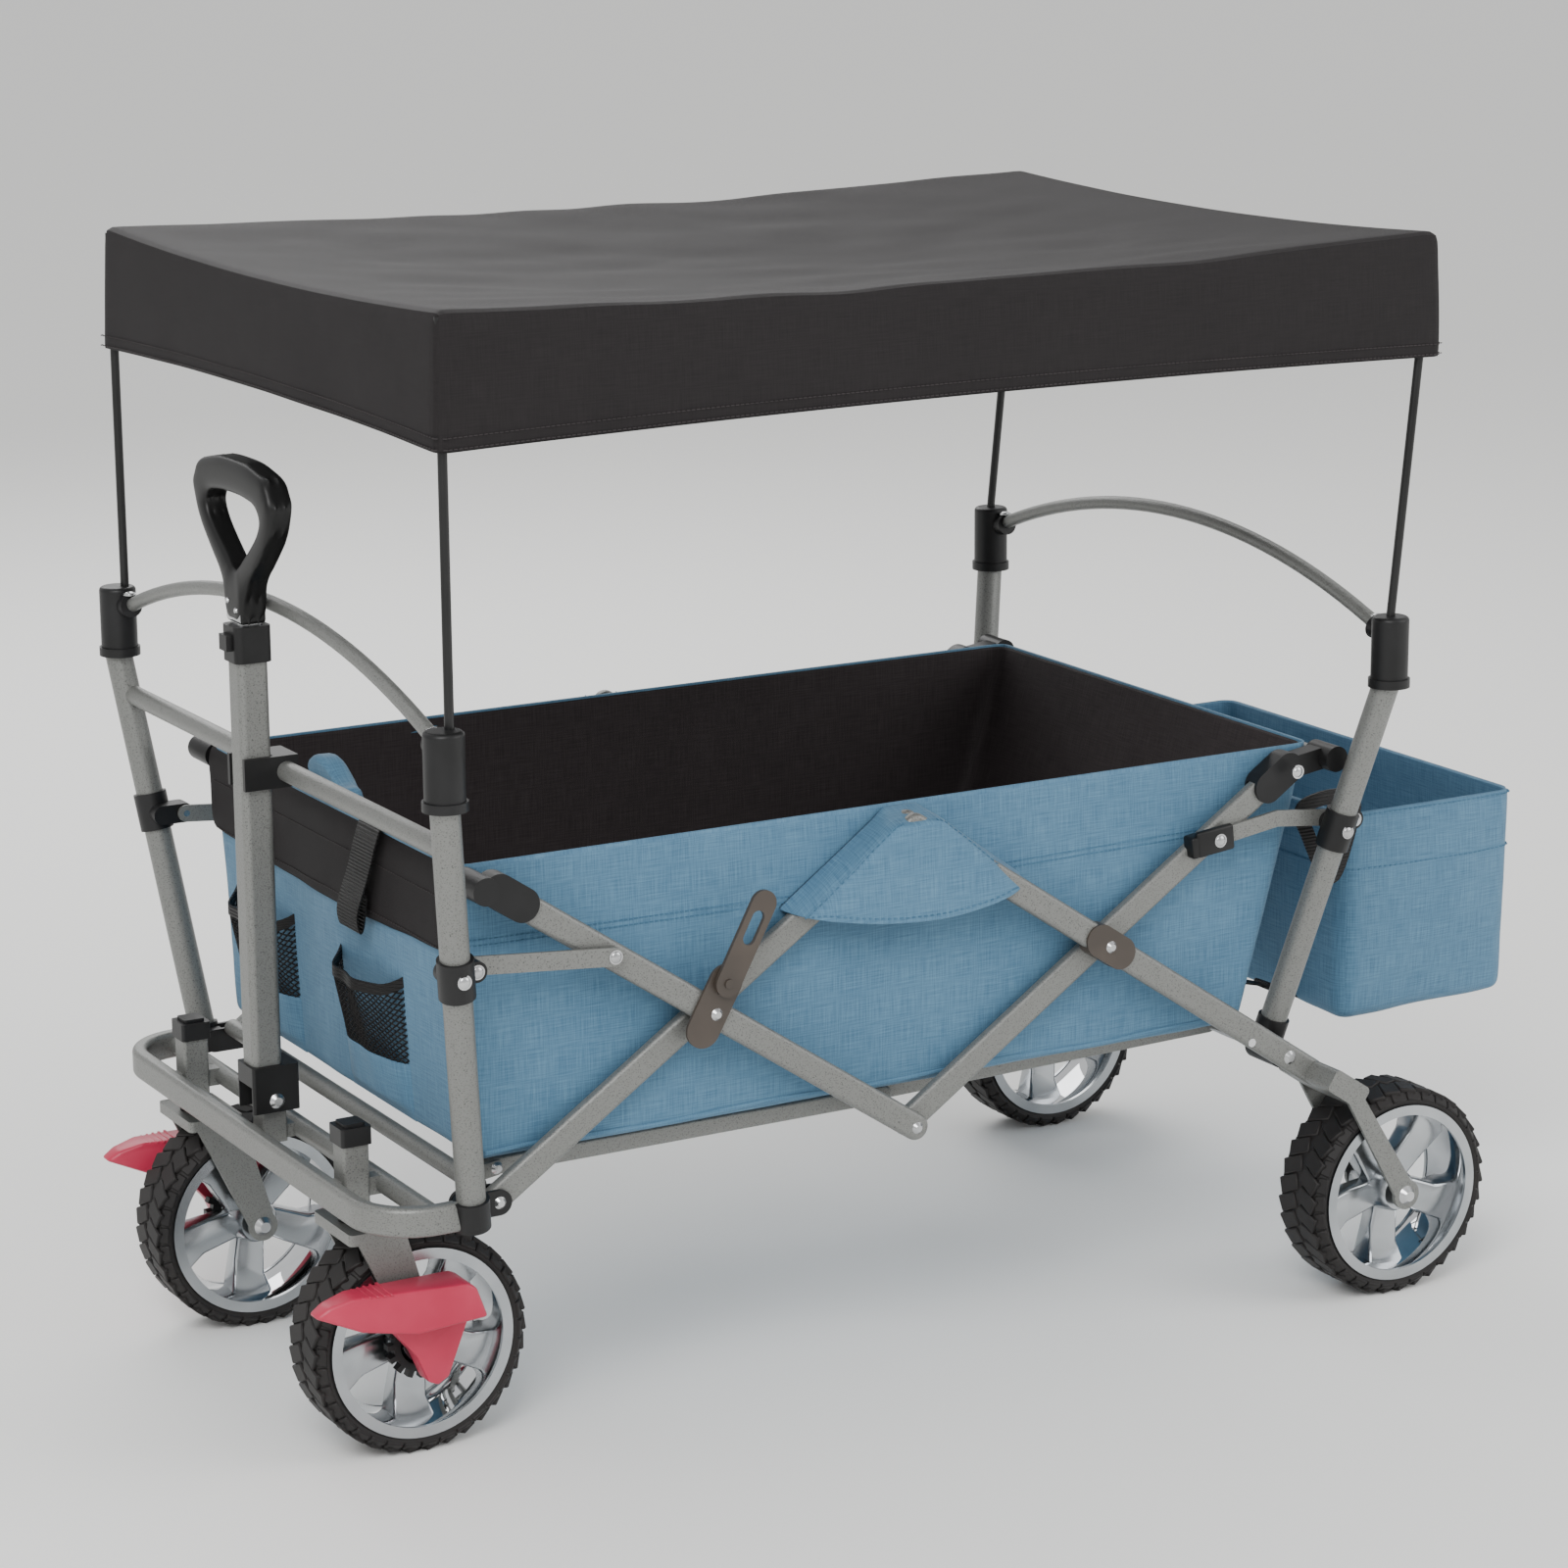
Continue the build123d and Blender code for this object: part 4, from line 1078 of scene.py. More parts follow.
# ------------------------------------------------------------------ tub
@dataclass
class Tub:
    """The blue tub with its charcoal lining, front band, side flaps and bottom piping; its pockets are made
    by FrontTrim.
    """

    node: str = "tub"
    body: str = "tub_cloth"
    keep: float = 0.3325
    anchor_x: float = -0.4815
    rim: float = 0.531
    droop: float = 0.0045
    half_width: float = 0.2545
    middle_x: float = -0.069
    side_seams: Flat = (0.4605, 0.4655)
    lining_seams: Flat = (0.4540, 0.4590)
    floor_front: float = -0.4915
    floor_rear: float = 0.2935
    flap_wall: float = 0.2645
    flap_proud: float = 0.3015
    flap_apex_x: float = -0.0785
    flap_end_z: float = 0.4525
    flap_half_top: float = 0.016
    flap_half_end: float = 0.124
    soft: list[bpy.types.Object] = field(default_factory=list)

    def shell(self, inset: float, top: float, seed: float) -> ClothBox:
        """Describe one layer of the tub's cloth.

        Args:
            inset: How far it lies inside the outer face.
            top: The height of its upper edge.
            seed: Picks its creases.

        Returns:
            The layer.
        """
        low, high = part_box(self.node)
        return ClothBox(
            low=(self.floor_front + inset, low[1] + inset, low[2] + inset - self.droop),
            high=(self.floor_rear - inset, high[1] - inset, top),
            front_lean=-0.012,
            rear_lean=0.0725,
            bulge=0.0025,
            sag=0.0,
            wrinkle=0.0019,
            seed=seed,
        )

    def build(self) -> None:
        """Make the layers, then everything that is sewn on them."""
        outer = self.shell(0.0, self.rim - 0.001, 2.0)
        bm = outer.build()
        skin = BVHTree.FromBMesh(bm)
        self.fold_rim(bm, ((0.0012, 0.0008), (0.0026, 0.0002), (0.0008, -0.0040), (0.0002, -0.0120)))
        piece = make_piece(bm, "tub_outer_cloth", [BLUE], self.body, [self.node], angle=60.0)
        thicken(piece, 0.0012)
        self.soft.append(piece)
        lining = self.shell(0.0040, self.rim - 0.0015, 4.0)
        bm = lining.build()
        inner_skin = BVHTree.FromBMesh(bm)
        # The lining takes the paler copy of the charcoal cloth: painted light that lifts the canopy's shade
        # inside the tub.
        cover = make_piece(bm, "tub_lining", [SHADE_LIFTED_LINING], self.body, angle=60.0)
        thicken(cover, 0.0010)
        self.soft.append(cover)
        stitches = self.sew_sides(skin)
        inside = self.sew_inside(inner_skin)
        self.soft += stitches + inside
        self.make_front_band()
        for side in Side:
            self.make_flap(side)
            self.make_piping(side)
        flat, area = outer.flat()
        flat, area = lining.flat()
        for soft in self.soft:
            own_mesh(soft)

    def fold_rim(self, bm: bmesh.types.BMesh, steps: Sequence[Flat]) -> None:
        """Fold a sheet's open edge inwards over the rim.

        Args:
            bm: The sheet.
            steps: How far each fold goes in and up, in metres.
        """
        edge = [e for e in bm.edges if e.is_boundary]
        for inward, up in steps:
            grown = bmesh.ops.extrude_edge_only(bm, edges=edge)["geom"]
            edge = [e for e in grown if isinstance(e, bmesh.types.BMEdge) and e.is_boundary]
            for v in (g for g in grown if isinstance(g, bmesh.types.BMVert)):
                side = abs(v.co.y) > self.half_width
                toward = Vector((0, -math.copysign(1, v.co.y), 0)) if side else Vector(
                    (-math.copysign(1, v.co.x - self.middle_x), 0, 0))
                v.co += toward * inward + Vector((0, 0, up))

    def sew_sides(self, skin: BVHTree) -> list[bpy.types.Object]:
        """Sew the double row that runs along each outer side below the rim.

        Args:
            skin: The outer cloth.

        Returns:
            The rows.
        """
        rows = []
        for side in Side:
            for number, height in enumerate(self.side_seams):
                y = side.value * 0.262
                path = [Vector((-0.495 + 0.034 * step, y, height - 0.004 * math.sin(step * 0.13)))
                        for step in range(25)]
                name = f"side_seam_{side.name.lower()}_{number + 1}"
                rows.append(sew(skin, path, name, BLUE_THREAD, self.body))
        return rows

    def sew_inside(self, skin: BVHTree) -> list[bpy.types.Object]:
        """Sew the double row and the pointed seam on the lining of each side.

        Args:
            skin: The lining.

        Returns:
            The rows.
        """
        rows = []
        for side in Side:
            y, name = side.value * 0.258, side.name.lower()
            paths = {}
            for number, height in enumerate(self.lining_seams):
                row = [Vector((-0.485 + 0.033 * step, y, height)) for step in range(25)]
                paths[f"lining_seam_{name}_{number + 1}"] = row
            paths[f"lining_corner_{name}"] = [
                Vector((0.352, y * 0.965, 0.520)), Vector((0.300, y * 0.965, 0.330)),
            ]
            paths[f"lining_peak_{name}"] = [
                Vector((-0.2045, y, 0.429)), Vector((-0.0695, y, 0.517)), Vector((0.0475, y, 0.433)),
            ]
            for label, path in paths.items():
                rows.append(sew(skin, path, label, BLACK_THREAD, self.body))
        return rows

    def make_front_band(self) -> None:
        """Fold the lining over the front rim rod as a band on the outside."""
        low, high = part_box(self.node)
        rod_low, rod_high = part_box("front_rim_rod")
        x, z = (rod_low[0] + rod_high[0]) / 2, (rod_low[2] + rod_high[2]) / 2
        bm = bmesh.new()
        wide = high[1] - 0.002
        profile = [
            (x + 0.0085, z - 0.016), (x + 0.0105, z - 0.002), (x + 0.009, z + 0.0085),
            (x + 0.002, z + 0.0145), (x - 0.006, z + 0.0125), (x - 0.0105, z + 0.004),
            (x - 0.0112, z - 0.006), (x - 0.0095, z - 0.018), (x - 0.0085, z - 0.034),
            (x - 0.0082, z - 0.052), (x - 0.0070, z - 0.070),
        ]
        last = len(profile) - 1
        bmesh.ops.create_grid(bm, x_segments=44, y_segments=last, size=1.0)
        for v in bm.verts:
            y, number = wide * v.co.x, round((v.co.y + 1) / 2 * last)
            px, pz = profile[number]
            loose = ease((number - 6) / 4)
            dent = -0.0022 * loose * (1 + rumple(Vector((0, y, pz)), 0.06, 6.0))
            ripple = 0.0015 * rumple(Vector((0, y, 0)), 0.05, 9.0)
            hang = -0.004 * loose * math.cos(3.1 * y / wide) + ripple
            v.co = Vector((px + dent, y, pz + hang * loose))
        face_out(bm, (-1, 0, 0), [f for f in bm.faces if f.calc_center_median().x < x - 0.008])
        skin = BVHTree.FromBMesh(bm)
        # The band takes the darker copy of the same cloth because it stands in direct light: painted shade.
        band = make_piece(bm, "front_band", [CHARCOAL], self.body, angle=70.0)
        thicken(band, 0.0010)
        path = [Vector((x - 0.011, -wide + 0.01 + (2 * wide - 0.02) * s / 20, z - 0.064)) for s in range(21)]
        seam = sew(skin, path, "front_band_seam", BLACK_THREAD, self.body)
        path = [p + Vector((0, 0, 0.045)) for p in path]
        upper = sew(skin, path, "front_band_upper_seam", BLACK_THREAD, self.body)
        self.soft += [band, seam, upper]

    def flap_place(self, u: float, t: float) -> Flat:
        """Give the place of a point of the flap in the side view.

        Args:
            u: From -1 to 1 along the wagon.
            t: From 0 at the rim to 1 at the hem.

        Returns:
            Its X and its Z.
        """
        top = self.rim - 0.0015
        half = self.flap_half_top + (self.flap_half_end - self.flap_half_top) * t
        hang = 0.020 * (1 - u * u) * ease((t - 0.55) / 0.45) * (1 + 0.25 * u)
        return self.flap_apex_x + u * half, top + (self.flap_end_z - top) * t - hang

    def make_flap(self, side: Side) -> None:
        """Make the pointed flap that covers the upper middle pivot.

        Args:
            side: The side of the wagon.
        """
        wall, proud, name = self.flap_wall, self.flap_proud, side.name.lower()
        bm = bmesh.new()
        bmesh.ops.create_grid(bm, x_segments=36, y_segments=26, size=1.0)
        for v in bm.verts:
            u, t = v.co.x, (1 - v.co.y) / 2
            x, z = self.flap_place(u, t)
            lift = ease(t / 0.14) * (1 - abs(u) ** 12)
            wave = 0.0016 * rumple(Vector((u, t, 0.0)), 0.35, 7.0 + side.value) * ease(t)
            y = wall + (proud - wall) * lift + wave + 0.003 * ease((t - 0.6) / 0.4) * (1 - u * u)
            v.co = Vector((x, side.value * y, z))
        face_out(bm, (0, side.value, 0))
        skin = BVHTree.FromBMesh(bm)
        flap = make_piece(bm, f"pivot_flap_{name}", [BLUE], self.body, angle=80.0)
        thicken(flap, 0.0011)
        rows = []
        for label, points, rise in (
            ("hem", [(u / 10, 1.0) for u in range(-10, 11)], 0.005),
            ("edge_front", [(-0.97, t / 10) for t in range(11)], 0.0),
            ("edge_rear", [(0.97, t / 10) for t in range(11)], 0.0),
        ):
            places = [self.flap_place(u, t) for u, t in points]
            path = [Vector((x, side.value * proud, z + rise)) for x, z in places]
            rows.append(sew(skin, path, f"flap_{label}_{name}", BLUE_THREAD, self.body))
        self.soft += [flap, *rows]

    def make_piping(self, side: Side) -> None:
        """Run a cord of piping along the bottom seam.

        Args:
            side: The side of the wagon.
        """
        low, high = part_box(self.node)
        bm = bmesh.new()
        y = side.value * (high[1] - 0.0005)
        foot = low[2] + 0.0025
        path = [(-0.483 + 0.0315 * s, y, foot + 0.0014 * math.sin(s * 0.9)) for s in range(25)]
        verts = ribbon(bm, smooth_path(path, 3), Vector((0, 1, 0)), 0.0042, 0.0042)
        lengthwise = [e for e in edges_of(verts) if abs((e.verts[0].co - e.verts[1].co).x) > 0.004]
        soften(bm, lengthwise, 0.0012, 2)
        name = f"bottom_piping_{side.name.lower()}"
        self.soft.append(make_piece(bm, name, [BLUE], self.body, angle=80.0))


@dataclass
class FrontPocket:
    """A net pocket over a cloth pouch on the tub's front wall."""

    name: str
    near: float
    far: float
    top: float = 0.404
    net_foot: float = 0.322
    foot: float = 0.275
    depth: float = 0.026
    wall: float = -0.4985
    body: str = "tub_cloth"

    def surface(self, u: float, z: float) -> Vector:
        """Give the pocket's front at a place.

        Args:
            u: From -1 to 1 across the pocket.
            z: The height.

        Returns:
            The point.
        """
        up = (z - self.foot) / (self.top - self.foot)
        lean = -0.012 * (z - 0.277) / 0.254 + 0.0115
        belly = (1 - abs(u) ** 3) * (0.35 + 0.65 * up) * ease((z - self.foot) / 0.015)
        y = (self.near + self.far) / 2 + u * (self.far - self.near) / 2
        gather = 0.0018 * math.sin(9 * u) * up
        drop = 0.013 * (1 - abs(u) ** 6) * ease((z - self.net_foot) / (self.top - self.net_foot))
        return Vector((self.wall + lean - 0.003 - self.depth * belly + gather, y, z - drop))

    def build(self) -> list[bpy.types.Object]:
        """Make the net, its elastic and the pouch under it.

        Returns:
            The pieces.
        """
        return [self.make_net(), self.make_pouch(), self.make_elastic()]

    def make_net(self) -> bpy.types.Object:
        """Knot the net from diamonds about 7 mm wide."""
        bm = bmesh.new()
        across = round((self.far - self.near) / 0.0072)
        up = round((self.top - self.net_foot) / 0.0058)
        bmesh.ops.create_grid(bm, x_segments=across, y_segments=up, size=1.0)
        bmesh.ops.poke(bm, faces=bm.faces)
        square = [e for e in bm.edges if abs(e.verts[0].co.x - e.verts[1].co.x) < 1e-5
                  or abs(e.verts[0].co.y - e.verts[1].co.y) < 1e-5]
        bmesh.ops.dissolve_edges(bm, edges=[e for e in square if not e.is_boundary], use_verts=False)
        for v in bm.verts:
            v.co = self.surface(v.co.x, self.net_foot + (v.co.y + 1) / 2 * (self.top - self.net_foot))
        bm.normal_update()
        bmesh.ops.wireframe(bm, faces=bm.faces, thickness=0.0016, use_replace=True, use_boundary=True,
                            use_even_offset=True)
        return make_piece(bm, f"pocket_net_{self.name}", [WEBBING], self.body)

    def make_pouch(self) -> bpy.types.Object:
        """Make the cloth half of the pocket."""
        bm = bmesh.new()
        bmesh.ops.create_grid(bm, x_segments=26, y_segments=12, size=1.0)
        top = self.net_foot + 0.006
        for v in bm.verts:
            z = self.foot + (v.co.y + 1) / 2 * (top - self.foot)
            v.co = self.surface(v.co.x, z) + Vector((-0.0012, 0, 0))
        face_out(bm, (-1, 0, 0))
        pouch = make_piece(bm, f"pocket_pouch_{self.name}", [BLUE], self.body, angle=80.0)
        thicken(pouch, 0.0011)
        return pouch

    def make_elastic(self) -> bpy.types.Object:
        """Bind the net's mouth with an elastic band that turns down at its ends."""
        bm = bmesh.new()
        path = [tuple(self.surface(u / 12, self.top)) for u in range(-12, 13)]
        ribbon(bm, path, Vector((0, 0, 1)), 0.010, 0.0016)
        for u in (-1, 1):
            ribbon(bm, [tuple(self.surface(u, self.top + 0.004 - 0.012 * s)) for s in range(7)],
                   Vector((0, 1, 0)), 0.008, 0.0018)
        return make_piece(bm, f"pocket_elastic_{self.name}", [WEBBING], self.body)


@dataclass
class FrontTrim:
    """What hangs on the tub's front wall: pockets, webbing straps and the blue pouch."""

    body: str = "tub_cloth"
    wall: float = -0.5035
    rim: float = 0.531

    def build(self, tub: Tub) -> None:
        """Make the trim.

        Args:
            tub: Not used.
        """
        made = FrontPocket("near", -0.146, -0.010).build() + FrontPocket("far", 0.088, 0.224).build()
        made += [self.strap("near", -0.074, 0.042, 0.034), self.strap("far", 0.150, 0.030, -0.012)]
        made += [self.make_pouch(), self.slider("far", 0.150)]
        for piece in made:
            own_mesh(piece)

    def strap(self, name: str, y: float, width: float, lean: float) -> bpy.types.Object:
        """Hang a webbing strap over the rim, with a loop at its foot.

        Args:
            name: Tells the straps apart.
            y: Where its foot hangs.
            width: Its width.
            lean: How far its top stands towards the left side.

        Returns:
            The strap.
        """
        profile = [
            (0.021, -0.055), (0.0215, -0.015), (0.0185, 0.006), (0.008, 0.0105), (-0.0045, 0.0055),
            (-0.0105, -0.010), (-0.0118, -0.042), (-0.0150, -0.078), (-0.0130, -0.095), (-0.0095, -0.090),
            (-0.0085, -0.062),
        ]
        route = [
            (self.wall + out, y - lean * ease((up + 0.085) / 0.085), self.rim + up) for out, up in profile
        ]
        bm = bmesh.new()
        ribbon(bm, smooth_path(route), Vector((0, 1, 0)), width, 0.0016)
        return make_piece(bm, f"webbing_strap_{name}", [WEBBING], self.body, angle=60.0)

    def slider(self, name: str, y: float) -> bpy.types.Object:
        """Thread a ladder buckle on a strap.

        Args:
            name: Tells the buckles apart.
            y: Where the strap hangs.

        Returns:
            The buckle.
        """
        bm = bmesh.new()
        x, z = self.wall - 0.0115, self.rim - 0.030
        for shift in (-0.007, 0.0, 0.007):
            bar = solid_box(bm, (0.0030, 0.024, 0.0028), (x, y, z + shift))
            soften(bm, edges_of(bar), 0.0008, 2)
        for shift in (-0.0115, 0.0115):
            post = solid_box(bm, (0.0034, 0.0028, 0.0172), (x, y + shift, z))
            soften(bm, edges_of(post), 0.0008, 2)
        return make_piece(bm, f"ladder_buckle_{name}", [BLACK_ABS], self.body)

    def make_pouch(self) -> bpy.types.Object:
        """Make the blue pouch that hangs inside the front rim and shows above it."""
        bm = bmesh.new()
        verts = solid_box(bm, (0.020, 0.088, 0.076), (self.wall + 0.034, 0.036, self.rim - 0.008))
        bmesh.ops.recalc_face_normals(bm, faces=bm.faces)
        soften(bm, edges_of(verts), 0.006, 3)
        cut_levels(bm, 1, -0.008, 0.080, 18)
        cut_levels(bm, 2, 0.484, 0.561, 12)
        bm.normal_update()
        for v in bm.verts:
            above = ease((v.co.z - 0.512) / 0.05)
            v.co += v.normal * 0.0030 * rumple(v.co, 0.028, 11.0)
            v.co.x -= 0.010 * above * (1 + 0.6 * rumple(Vector((0, v.co.y, 0)), 0.03, 2.0))
            v.co.z -= 0.022 * above * ease(abs(v.co.y - 0.050) / 0.05)
        pouch = make_piece(bm, "inner_pouch", [BLUE], self.body, angle=70.0)
        return pouch


# ------------------------------------------------------------------ rear bag
@dataclass
class RearBag:
    """The storage bag behind the tub, with its webbing loops and bottom strap."""

    node: str = "rear_bag"
    body: str = "rear_frame"

    def build(self) -> None:
        """Make the bag, its stitched rim band and its straps."""
        low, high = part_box(self.node)
        outer = ClothBox(
            low=(low[0] + 0.004, low[1] + 0.004, low[2] + 0.006),
            high=(high[0] - 0.006, high[1] - 0.005, high[2]),
            corner=0.016, foot=0.010, bulge=0.005, sag=0.004, wrinkle=0.0035, seed=13.0, flare=0.012,
        )
        bm = outer.build()
        skin = BVHTree.FromBMesh(bm)
        bag = make_piece(bm, "bag_cloth", [BLUE], self.body, [self.node], angle=60.0)
        thicken(bag, 0.0042)
        for number, drop in enumerate((0.056, 0.004)):
            z = high[2] - drop
            corners = [(low[0], low[1]), (high[0], low[1]), (high[0], high[1]), (low[0], high[1])]
            corners.append(corners[0])
            path = []
            for (x0, y0), (x1, y1) in zip(corners, corners[1:]):
                path += [Vector((x0 + (x1 - x0) * s / 12, y0 + (y1 - y0) * s / 12, z)) for s in range(12)]
            name = f"bag_seam_{number + 1}"
            sew(skin, [*path, path[0]], name, BLUE_THREAD, self.body)
        for side in Side:
            self.make_loop(side, low, high)
        self.make_bottom_strap(low)

    def make_loop(self, side: Side, low: Vector, high: Vector) -> None:
        """Hook a webbing loop from the bag's corner round the rear post's collar.

        Args:
            side: The side of the wagon.
            low: The bag's lowest corner.
            high: Its highest corner.
        """
        sign = side.value
        bm = bmesh.new()
        edge = low[0]
        route = [
            (edge + 0.006, sign * high[1], high[2] + 0.020), (edge - 0.002, sign * 0.250, high[2] + 0.026),
            (edge - 0.010, sign * 0.264, high[2] + 0.018), (edge - 0.020, sign * 0.268, high[2] - 0.010),
            (edge - 0.033, sign * 0.270, high[2] - 0.040), (edge - 0.042, sign * 0.271, high[2] - 0.046),
            (edge - 0.052, sign * 0.272, high[2] - 0.038), (edge - 0.070, sign * 0.274, high[2] - 0.004),
            (edge - 0.080, sign * 0.274, high[2] + 0.022), (edge - 0.060, sign * 0.273, high[2] + 0.030),
            (edge - 0.036, sign * 0.270, high[2] + 0.030),
        ]
        ribbon(bm, smooth_path(route), Vector((0, 1, 0.02)), 0.014, 0.0022, facing=True)
        make_piece(bm, f"bag_loop_{side.name.lower()}", [WEBBING], self.body, angle=60.0)

    def make_bottom_strap(self, low: Vector) -> None:
        """Run a buckled strap forward from the bag's bottom edge."""
        bm = bmesh.new()
        for y in (-0.150, 0.150):
            route = [(low[0] + 0.020, y, low[2] + 0.005), (low[0] + 0.002, y, low[2] + 0.012),
                     (low[0] - 0.030, y, low[2] + 0.026), (low[0] - 0.060, y, low[2] + 0.034)]
            ribbon(bm, smooth_path(route), Vector((0, 1, 0)), 0.020, 0.0016)
            clasp = solid_box(bm, (0.026, 0.026, 0.007), (low[0] - 0.018, y, low[2] + 0.0215),
                              Matrix.Rotation(math.radians(24), 4, "Y"))
            soften(bm, edges_of(clasp), 0.002, 2)
            paint(clasp, 1)
        make_piece(bm, "bag_bottom_straps", [WEBBING, BLACK_ABS], self.body, angle=50.0)


# ------------------------------------------------------------------ frame finishes
@dataclass
class FrameDress:
    """Gives every CAD node that stays its finish."""

    finishes: dict[str, Finish] = field(
        default_factory=lambda: {
            "frame_paint": HAMMERTONE,
            "black_plastic": BLACK_ABS,
            "taupe_plastic": TAUPE_NYLON,
            "brake_red": PEDAL_RED,
            "zinc_steel": ZINC,
            "wheel_chrome": CHROME,
            "tyre_rubber": RUBBER,
            "blue_cloth": BLUE,
            "charcoal_cloth": CHARCOAL,
            "pole_fibre": FIBRE,
        }
    )

    def build(self) -> None:
        """Assign each node the finish of its slot in the record."""
        for entry in frame["record"]["subparts"]:
            node = frame["nodes"][entry["node"]]
            finish = self.finishes[entry["material_slot"]].build()
            if not node.data.materials:
                node.data.materials.append(finish)
            for holder in node.material_slots:
                holder.material = finish


# ------------------------------------------------------------------ rivets and clips
@dataclass
class Rivets:
    """Domed rivet heads on both sides of the wagon."""

    name: str
    body: str
    spots: Sequence[Point]
    radius: float = 0.0052
    upward: bool = False

    def build(self) -> None:
        """Set a flattened dome with a narrow collar at each spot."""
        bm = bmesh.new()
        for side in Side:
            for x, y, z in self.spots:
                flat = (1.0, 1.0, 0.48) if self.upward else (1.0, 0.48, 1.0)
                place = Matrix.Translation((x, side.value * y, z)) @ Matrix.Diagonal((*flat, 1.0))
                bmesh.ops.create_uvsphere(bm, u_segments=20, v_segments=10, radius=self.radius, matrix=place)
                turn = Matrix() if self.upward else Matrix.Rotation(math.pi / 2, 4, "X")
                place = Matrix.Translation((x, side.value * y, z)) @ turn
                ring = self.radius * 1.22
                bmesh.ops.create_cone(
                    bm, cap_ends=True, segments=24, radius1=ring, radius2=ring, depth=0.0012, matrix=place
                )
        bmesh.ops.recalc_face_normals(bm, faces=bm.faces)
        make_piece(bm, self.name, [ZINC], self.body)


@dataclass
class LinkClip:
    """The black clip that holds each rear link on its bar."""

    place: Flat = (0.2431, 0.460)
    face: float = 0.2862
    size: Point = (0.040, 0.007, 0.024)
    slope: float = -6.0

    def build(self) -> None:
        """Make a rounded clip with its jaw for both sides."""
        bm = bmesh.new()
        for side in Side:
            x, z = self.place
            turn = Matrix.Rotation(math.radians(self.slope), 4, "Y")
            y = side.value * (self.face + self.size[1] / 2)
            clip = solid_box(bm, self.size, (x - 0.004, y, z), turn)
            soften(bm, edges_of(clip), 0.0026, 3)
            jaw_place = (x - 0.022, side.value * (self.face - 0.002), z - 0.004)
            jaw = solid_box(bm, (0.014, 0.016, 0.020), jaw_place, turn)
            soften(bm, edges_of(jaw), 0.0024, 3)
        make_piece(bm, "rear_link_clips", [BLACK_ABS], "rear_link_pair")


def rivet_rows() -> list[Rivets]:
    """List the rivet heads, at the pivots and on the collars."""
    return [
        Rivets("front_collar_rivets", "front_frame", [(-0.5364, 0.3440, 0.457), (-0.5144, 0.3226, 0.457)]),
        Rivets("front_link_rivets", "front_link_pair", [(-0.3778, 0.3032, 0.4449)]),
        Rivets("rear_collar_rivets", "rear_frame", [(0.3671, 0.3184, 0.457), (0.3921, 0.2970, 0.461)]),
        Rivets("rear_link_rivets", "rear_link_pair", [(0.2431, 0.2934, 0.460)]),
        Rivets("rear_connector_rivets", "rear_inner", [(0.3243, 0.2982, 0.5148)]),
        Rivets("front_arch_bolts", "front_frame", [(-0.5505, 0.3290, 0.6645)], upward=True),
        Rivets("rear_arch_bolts", "rear_frame", [(0.3995, 0.3120, 0.6535)], upward=True),
    ]


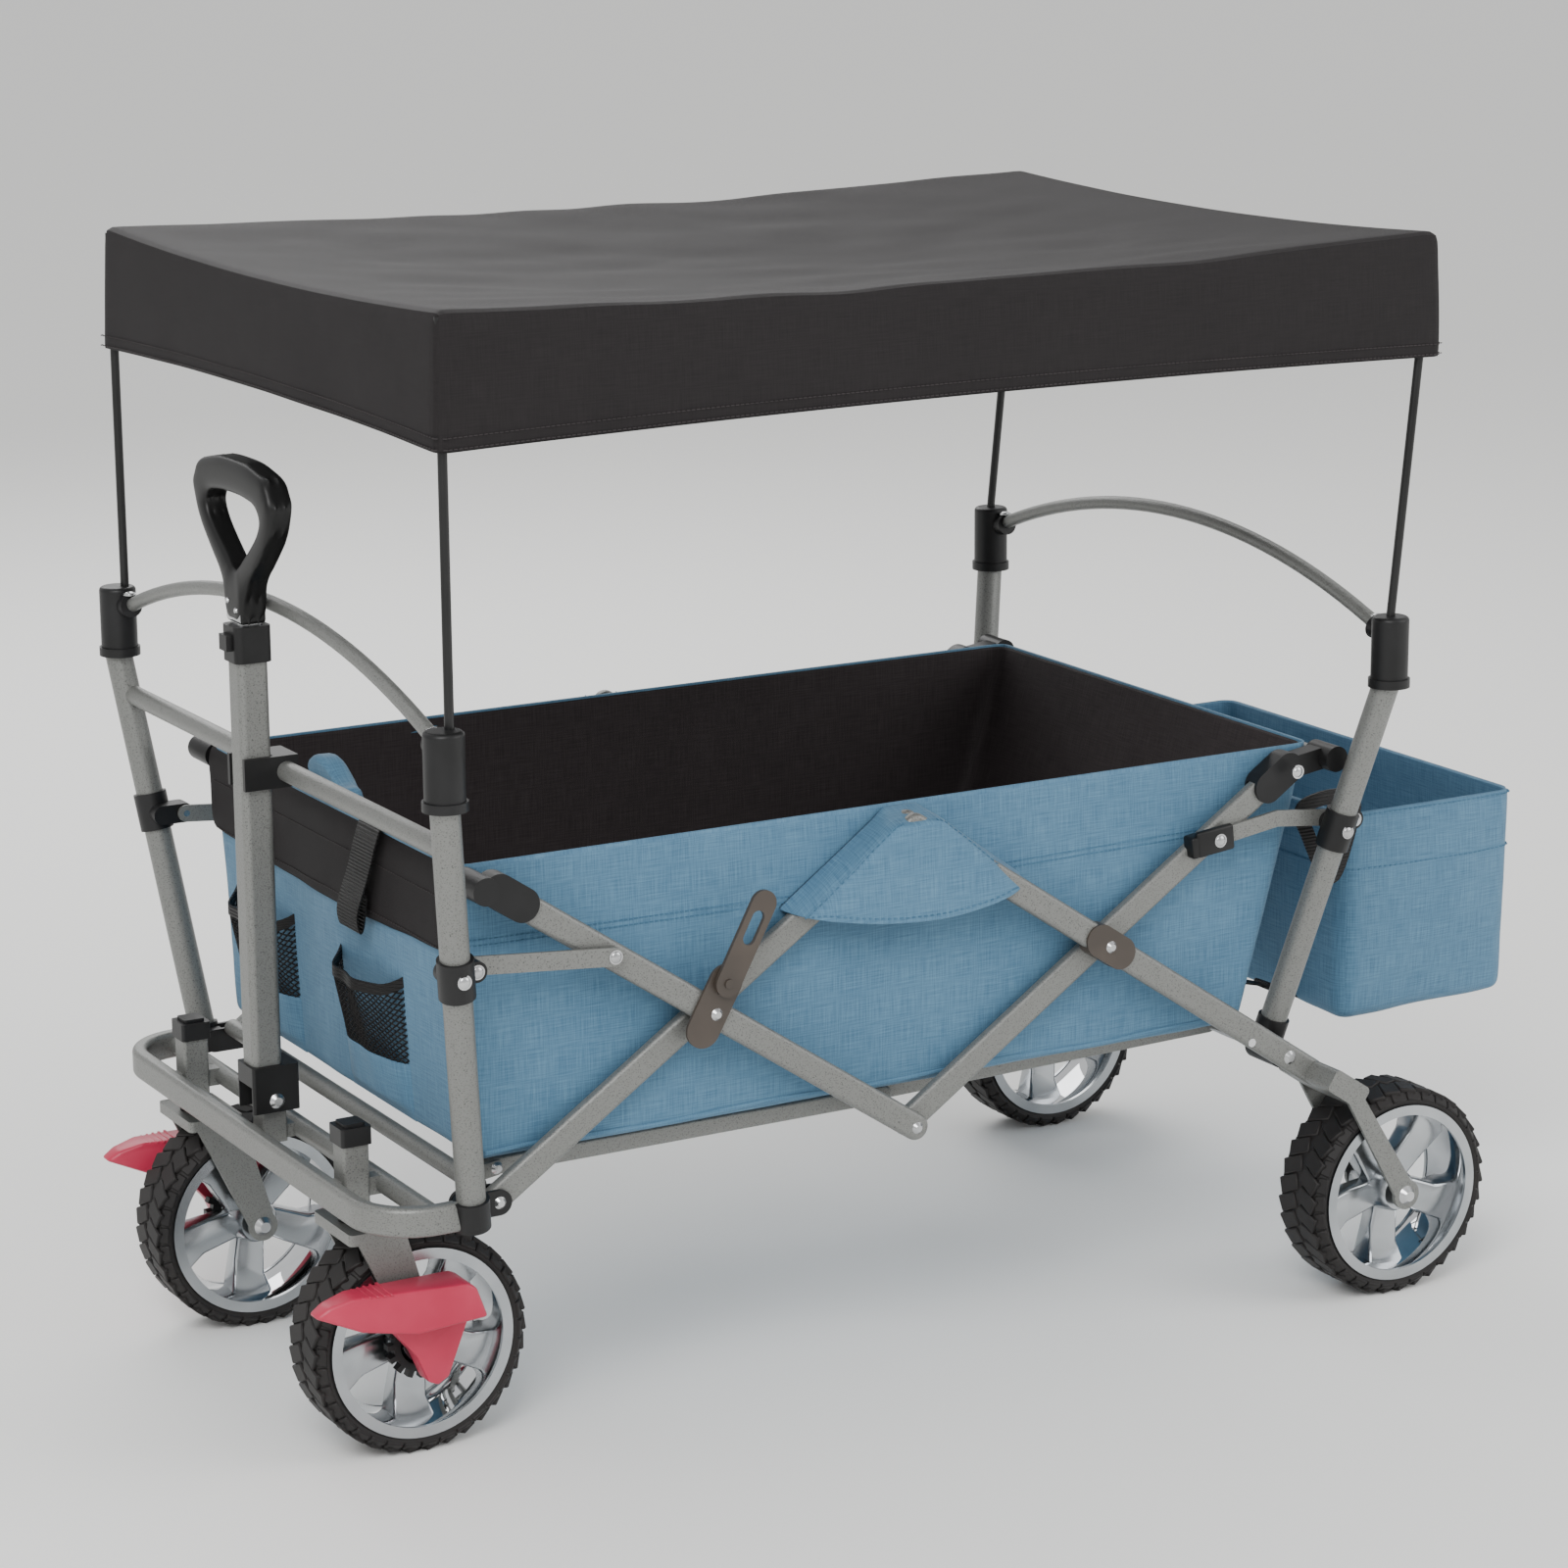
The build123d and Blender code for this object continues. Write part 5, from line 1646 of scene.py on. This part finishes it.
# ------------------------------------------------------------------ studio
@dataclass
class Studio:
    """The floor, the lights and the camera."""

    camera_at: Point = (-1.9525, -3.348, 1.424)
    azimuth: float = 29.70
    down: float = 13.65
    roll: float = -0.39
    lens: float = 98.24
    sensor: float = 36.0

    def build(self) -> None:
        """Set up the studio."""
        self.make_floor()
        self.make_lights()
        self.make_camera()

    def make_floor(self) -> None:
        """Lay a wide pale floor, which is not part of the wagon."""
        bm = bmesh.new()
        bmesh.ops.create_grid(bm, x_segments=1, y_segments=1, size=30.0)
        mesh = bpy.data.meshes.new("studio_floor")
        bm.to_mesh(mesh)
        bm.free()
        matt = bpy.data.materials.new("pale_floor")
        matt.use_nodes = True
        shader = matt.node_tree.nodes["Principled BSDF"]
        shader.inputs["Base Color"].default_value = linear("#f4f4f2")
        shader.inputs["Roughness"].default_value = 0.9
        mesh.materials.append(matt)
        floor = bpy.data.objects.new("studio_floor", mesh)
        bpy.context.scene.collection.objects.link(floor)

    def make_lights(self) -> None:
        """Hang three soft lamps over a bright surround."""
        world = bpy.data.worlds.new("studio")
        bpy.context.scene.world = world
        world.use_nodes = True
        backdrop = world.node_tree.nodes["Background"]
        backdrop.inputs["Color"].default_value = linear("#ffffff")
        backdrop.inputs["Strength"].default_value = 0.85
        lamps = (
            ("key", (-2.6, -2.8, 3.4), 2.2, 150.0),
            ("fill", (2.8, -2.6, 2.2), 2.6, 60.0),
            ("rear", (0.5, 3.2, 3.0), 2.6, 75.0),
        )
        for name, place, size, power in lamps:
            data = bpy.data.lights.new(f"{name}_light", "AREA")
            data.size, data.energy = size, power
            lamp = bpy.data.objects.new(f"{name}_light", data)
            aim = Vector((0, 0, 0.45)) - Vector(place)
            lamp.matrix_world = Matrix.Translation(place) @ aim.to_track_quat("-Z", "Y").to_matrix().to_4x4()
            bpy.context.scene.collection.objects.link(lamp)

    def make_camera(self) -> None:
        """Stand the camera in front of the wagon's left corner."""
        data = bpy.data.cameras.new("camera")
        data.lens, data.sensor_width = self.lens, self.sensor
        data.clip_end = 60.0
        camera = bpy.data.objects.new("camera", data)
        turn = (
            Matrix.Rotation(-math.radians(self.azimuth), 4, "Z")
            @ Matrix.Rotation(math.radians(90 - self.down), 4, "X")
            @ Matrix.Rotation(math.radians(self.roll), 4, "Z")
        )
        camera.matrix_world = Matrix.Translation(self.camera_at) @ turn
        bpy.context.scene.collection.objects.link(camera)
        bpy.context.scene.camera = camera


def main() -> None:
    """Build the wagon's pieces in order."""
    logging.basicConfig(level=logging.INFO, format="%(name)s %(message)s")
    Studio().build()
    FrameDress().build()
    for end in ("front", "rear"):
        for side in Side:
            name = side.name.lower()
            wheel = Wheel(f"{end}_tyre_{name}", f"{end}_rim_{name}", f"{end}_wheel_{name}")
            wheel.make_tyre()
            wheel.make_rim()
    for side in Side:
        BrakePedal(side).build()
    PullGrip().build()
    for row in rivet_rows():
        row.build()
    LinkClip().build()
    tub = Tub()
    tub.build()
    FrontTrim().build(tub)
    RearBag().build()
    Canopy().build()


if __name__ == "__main__":
    main()
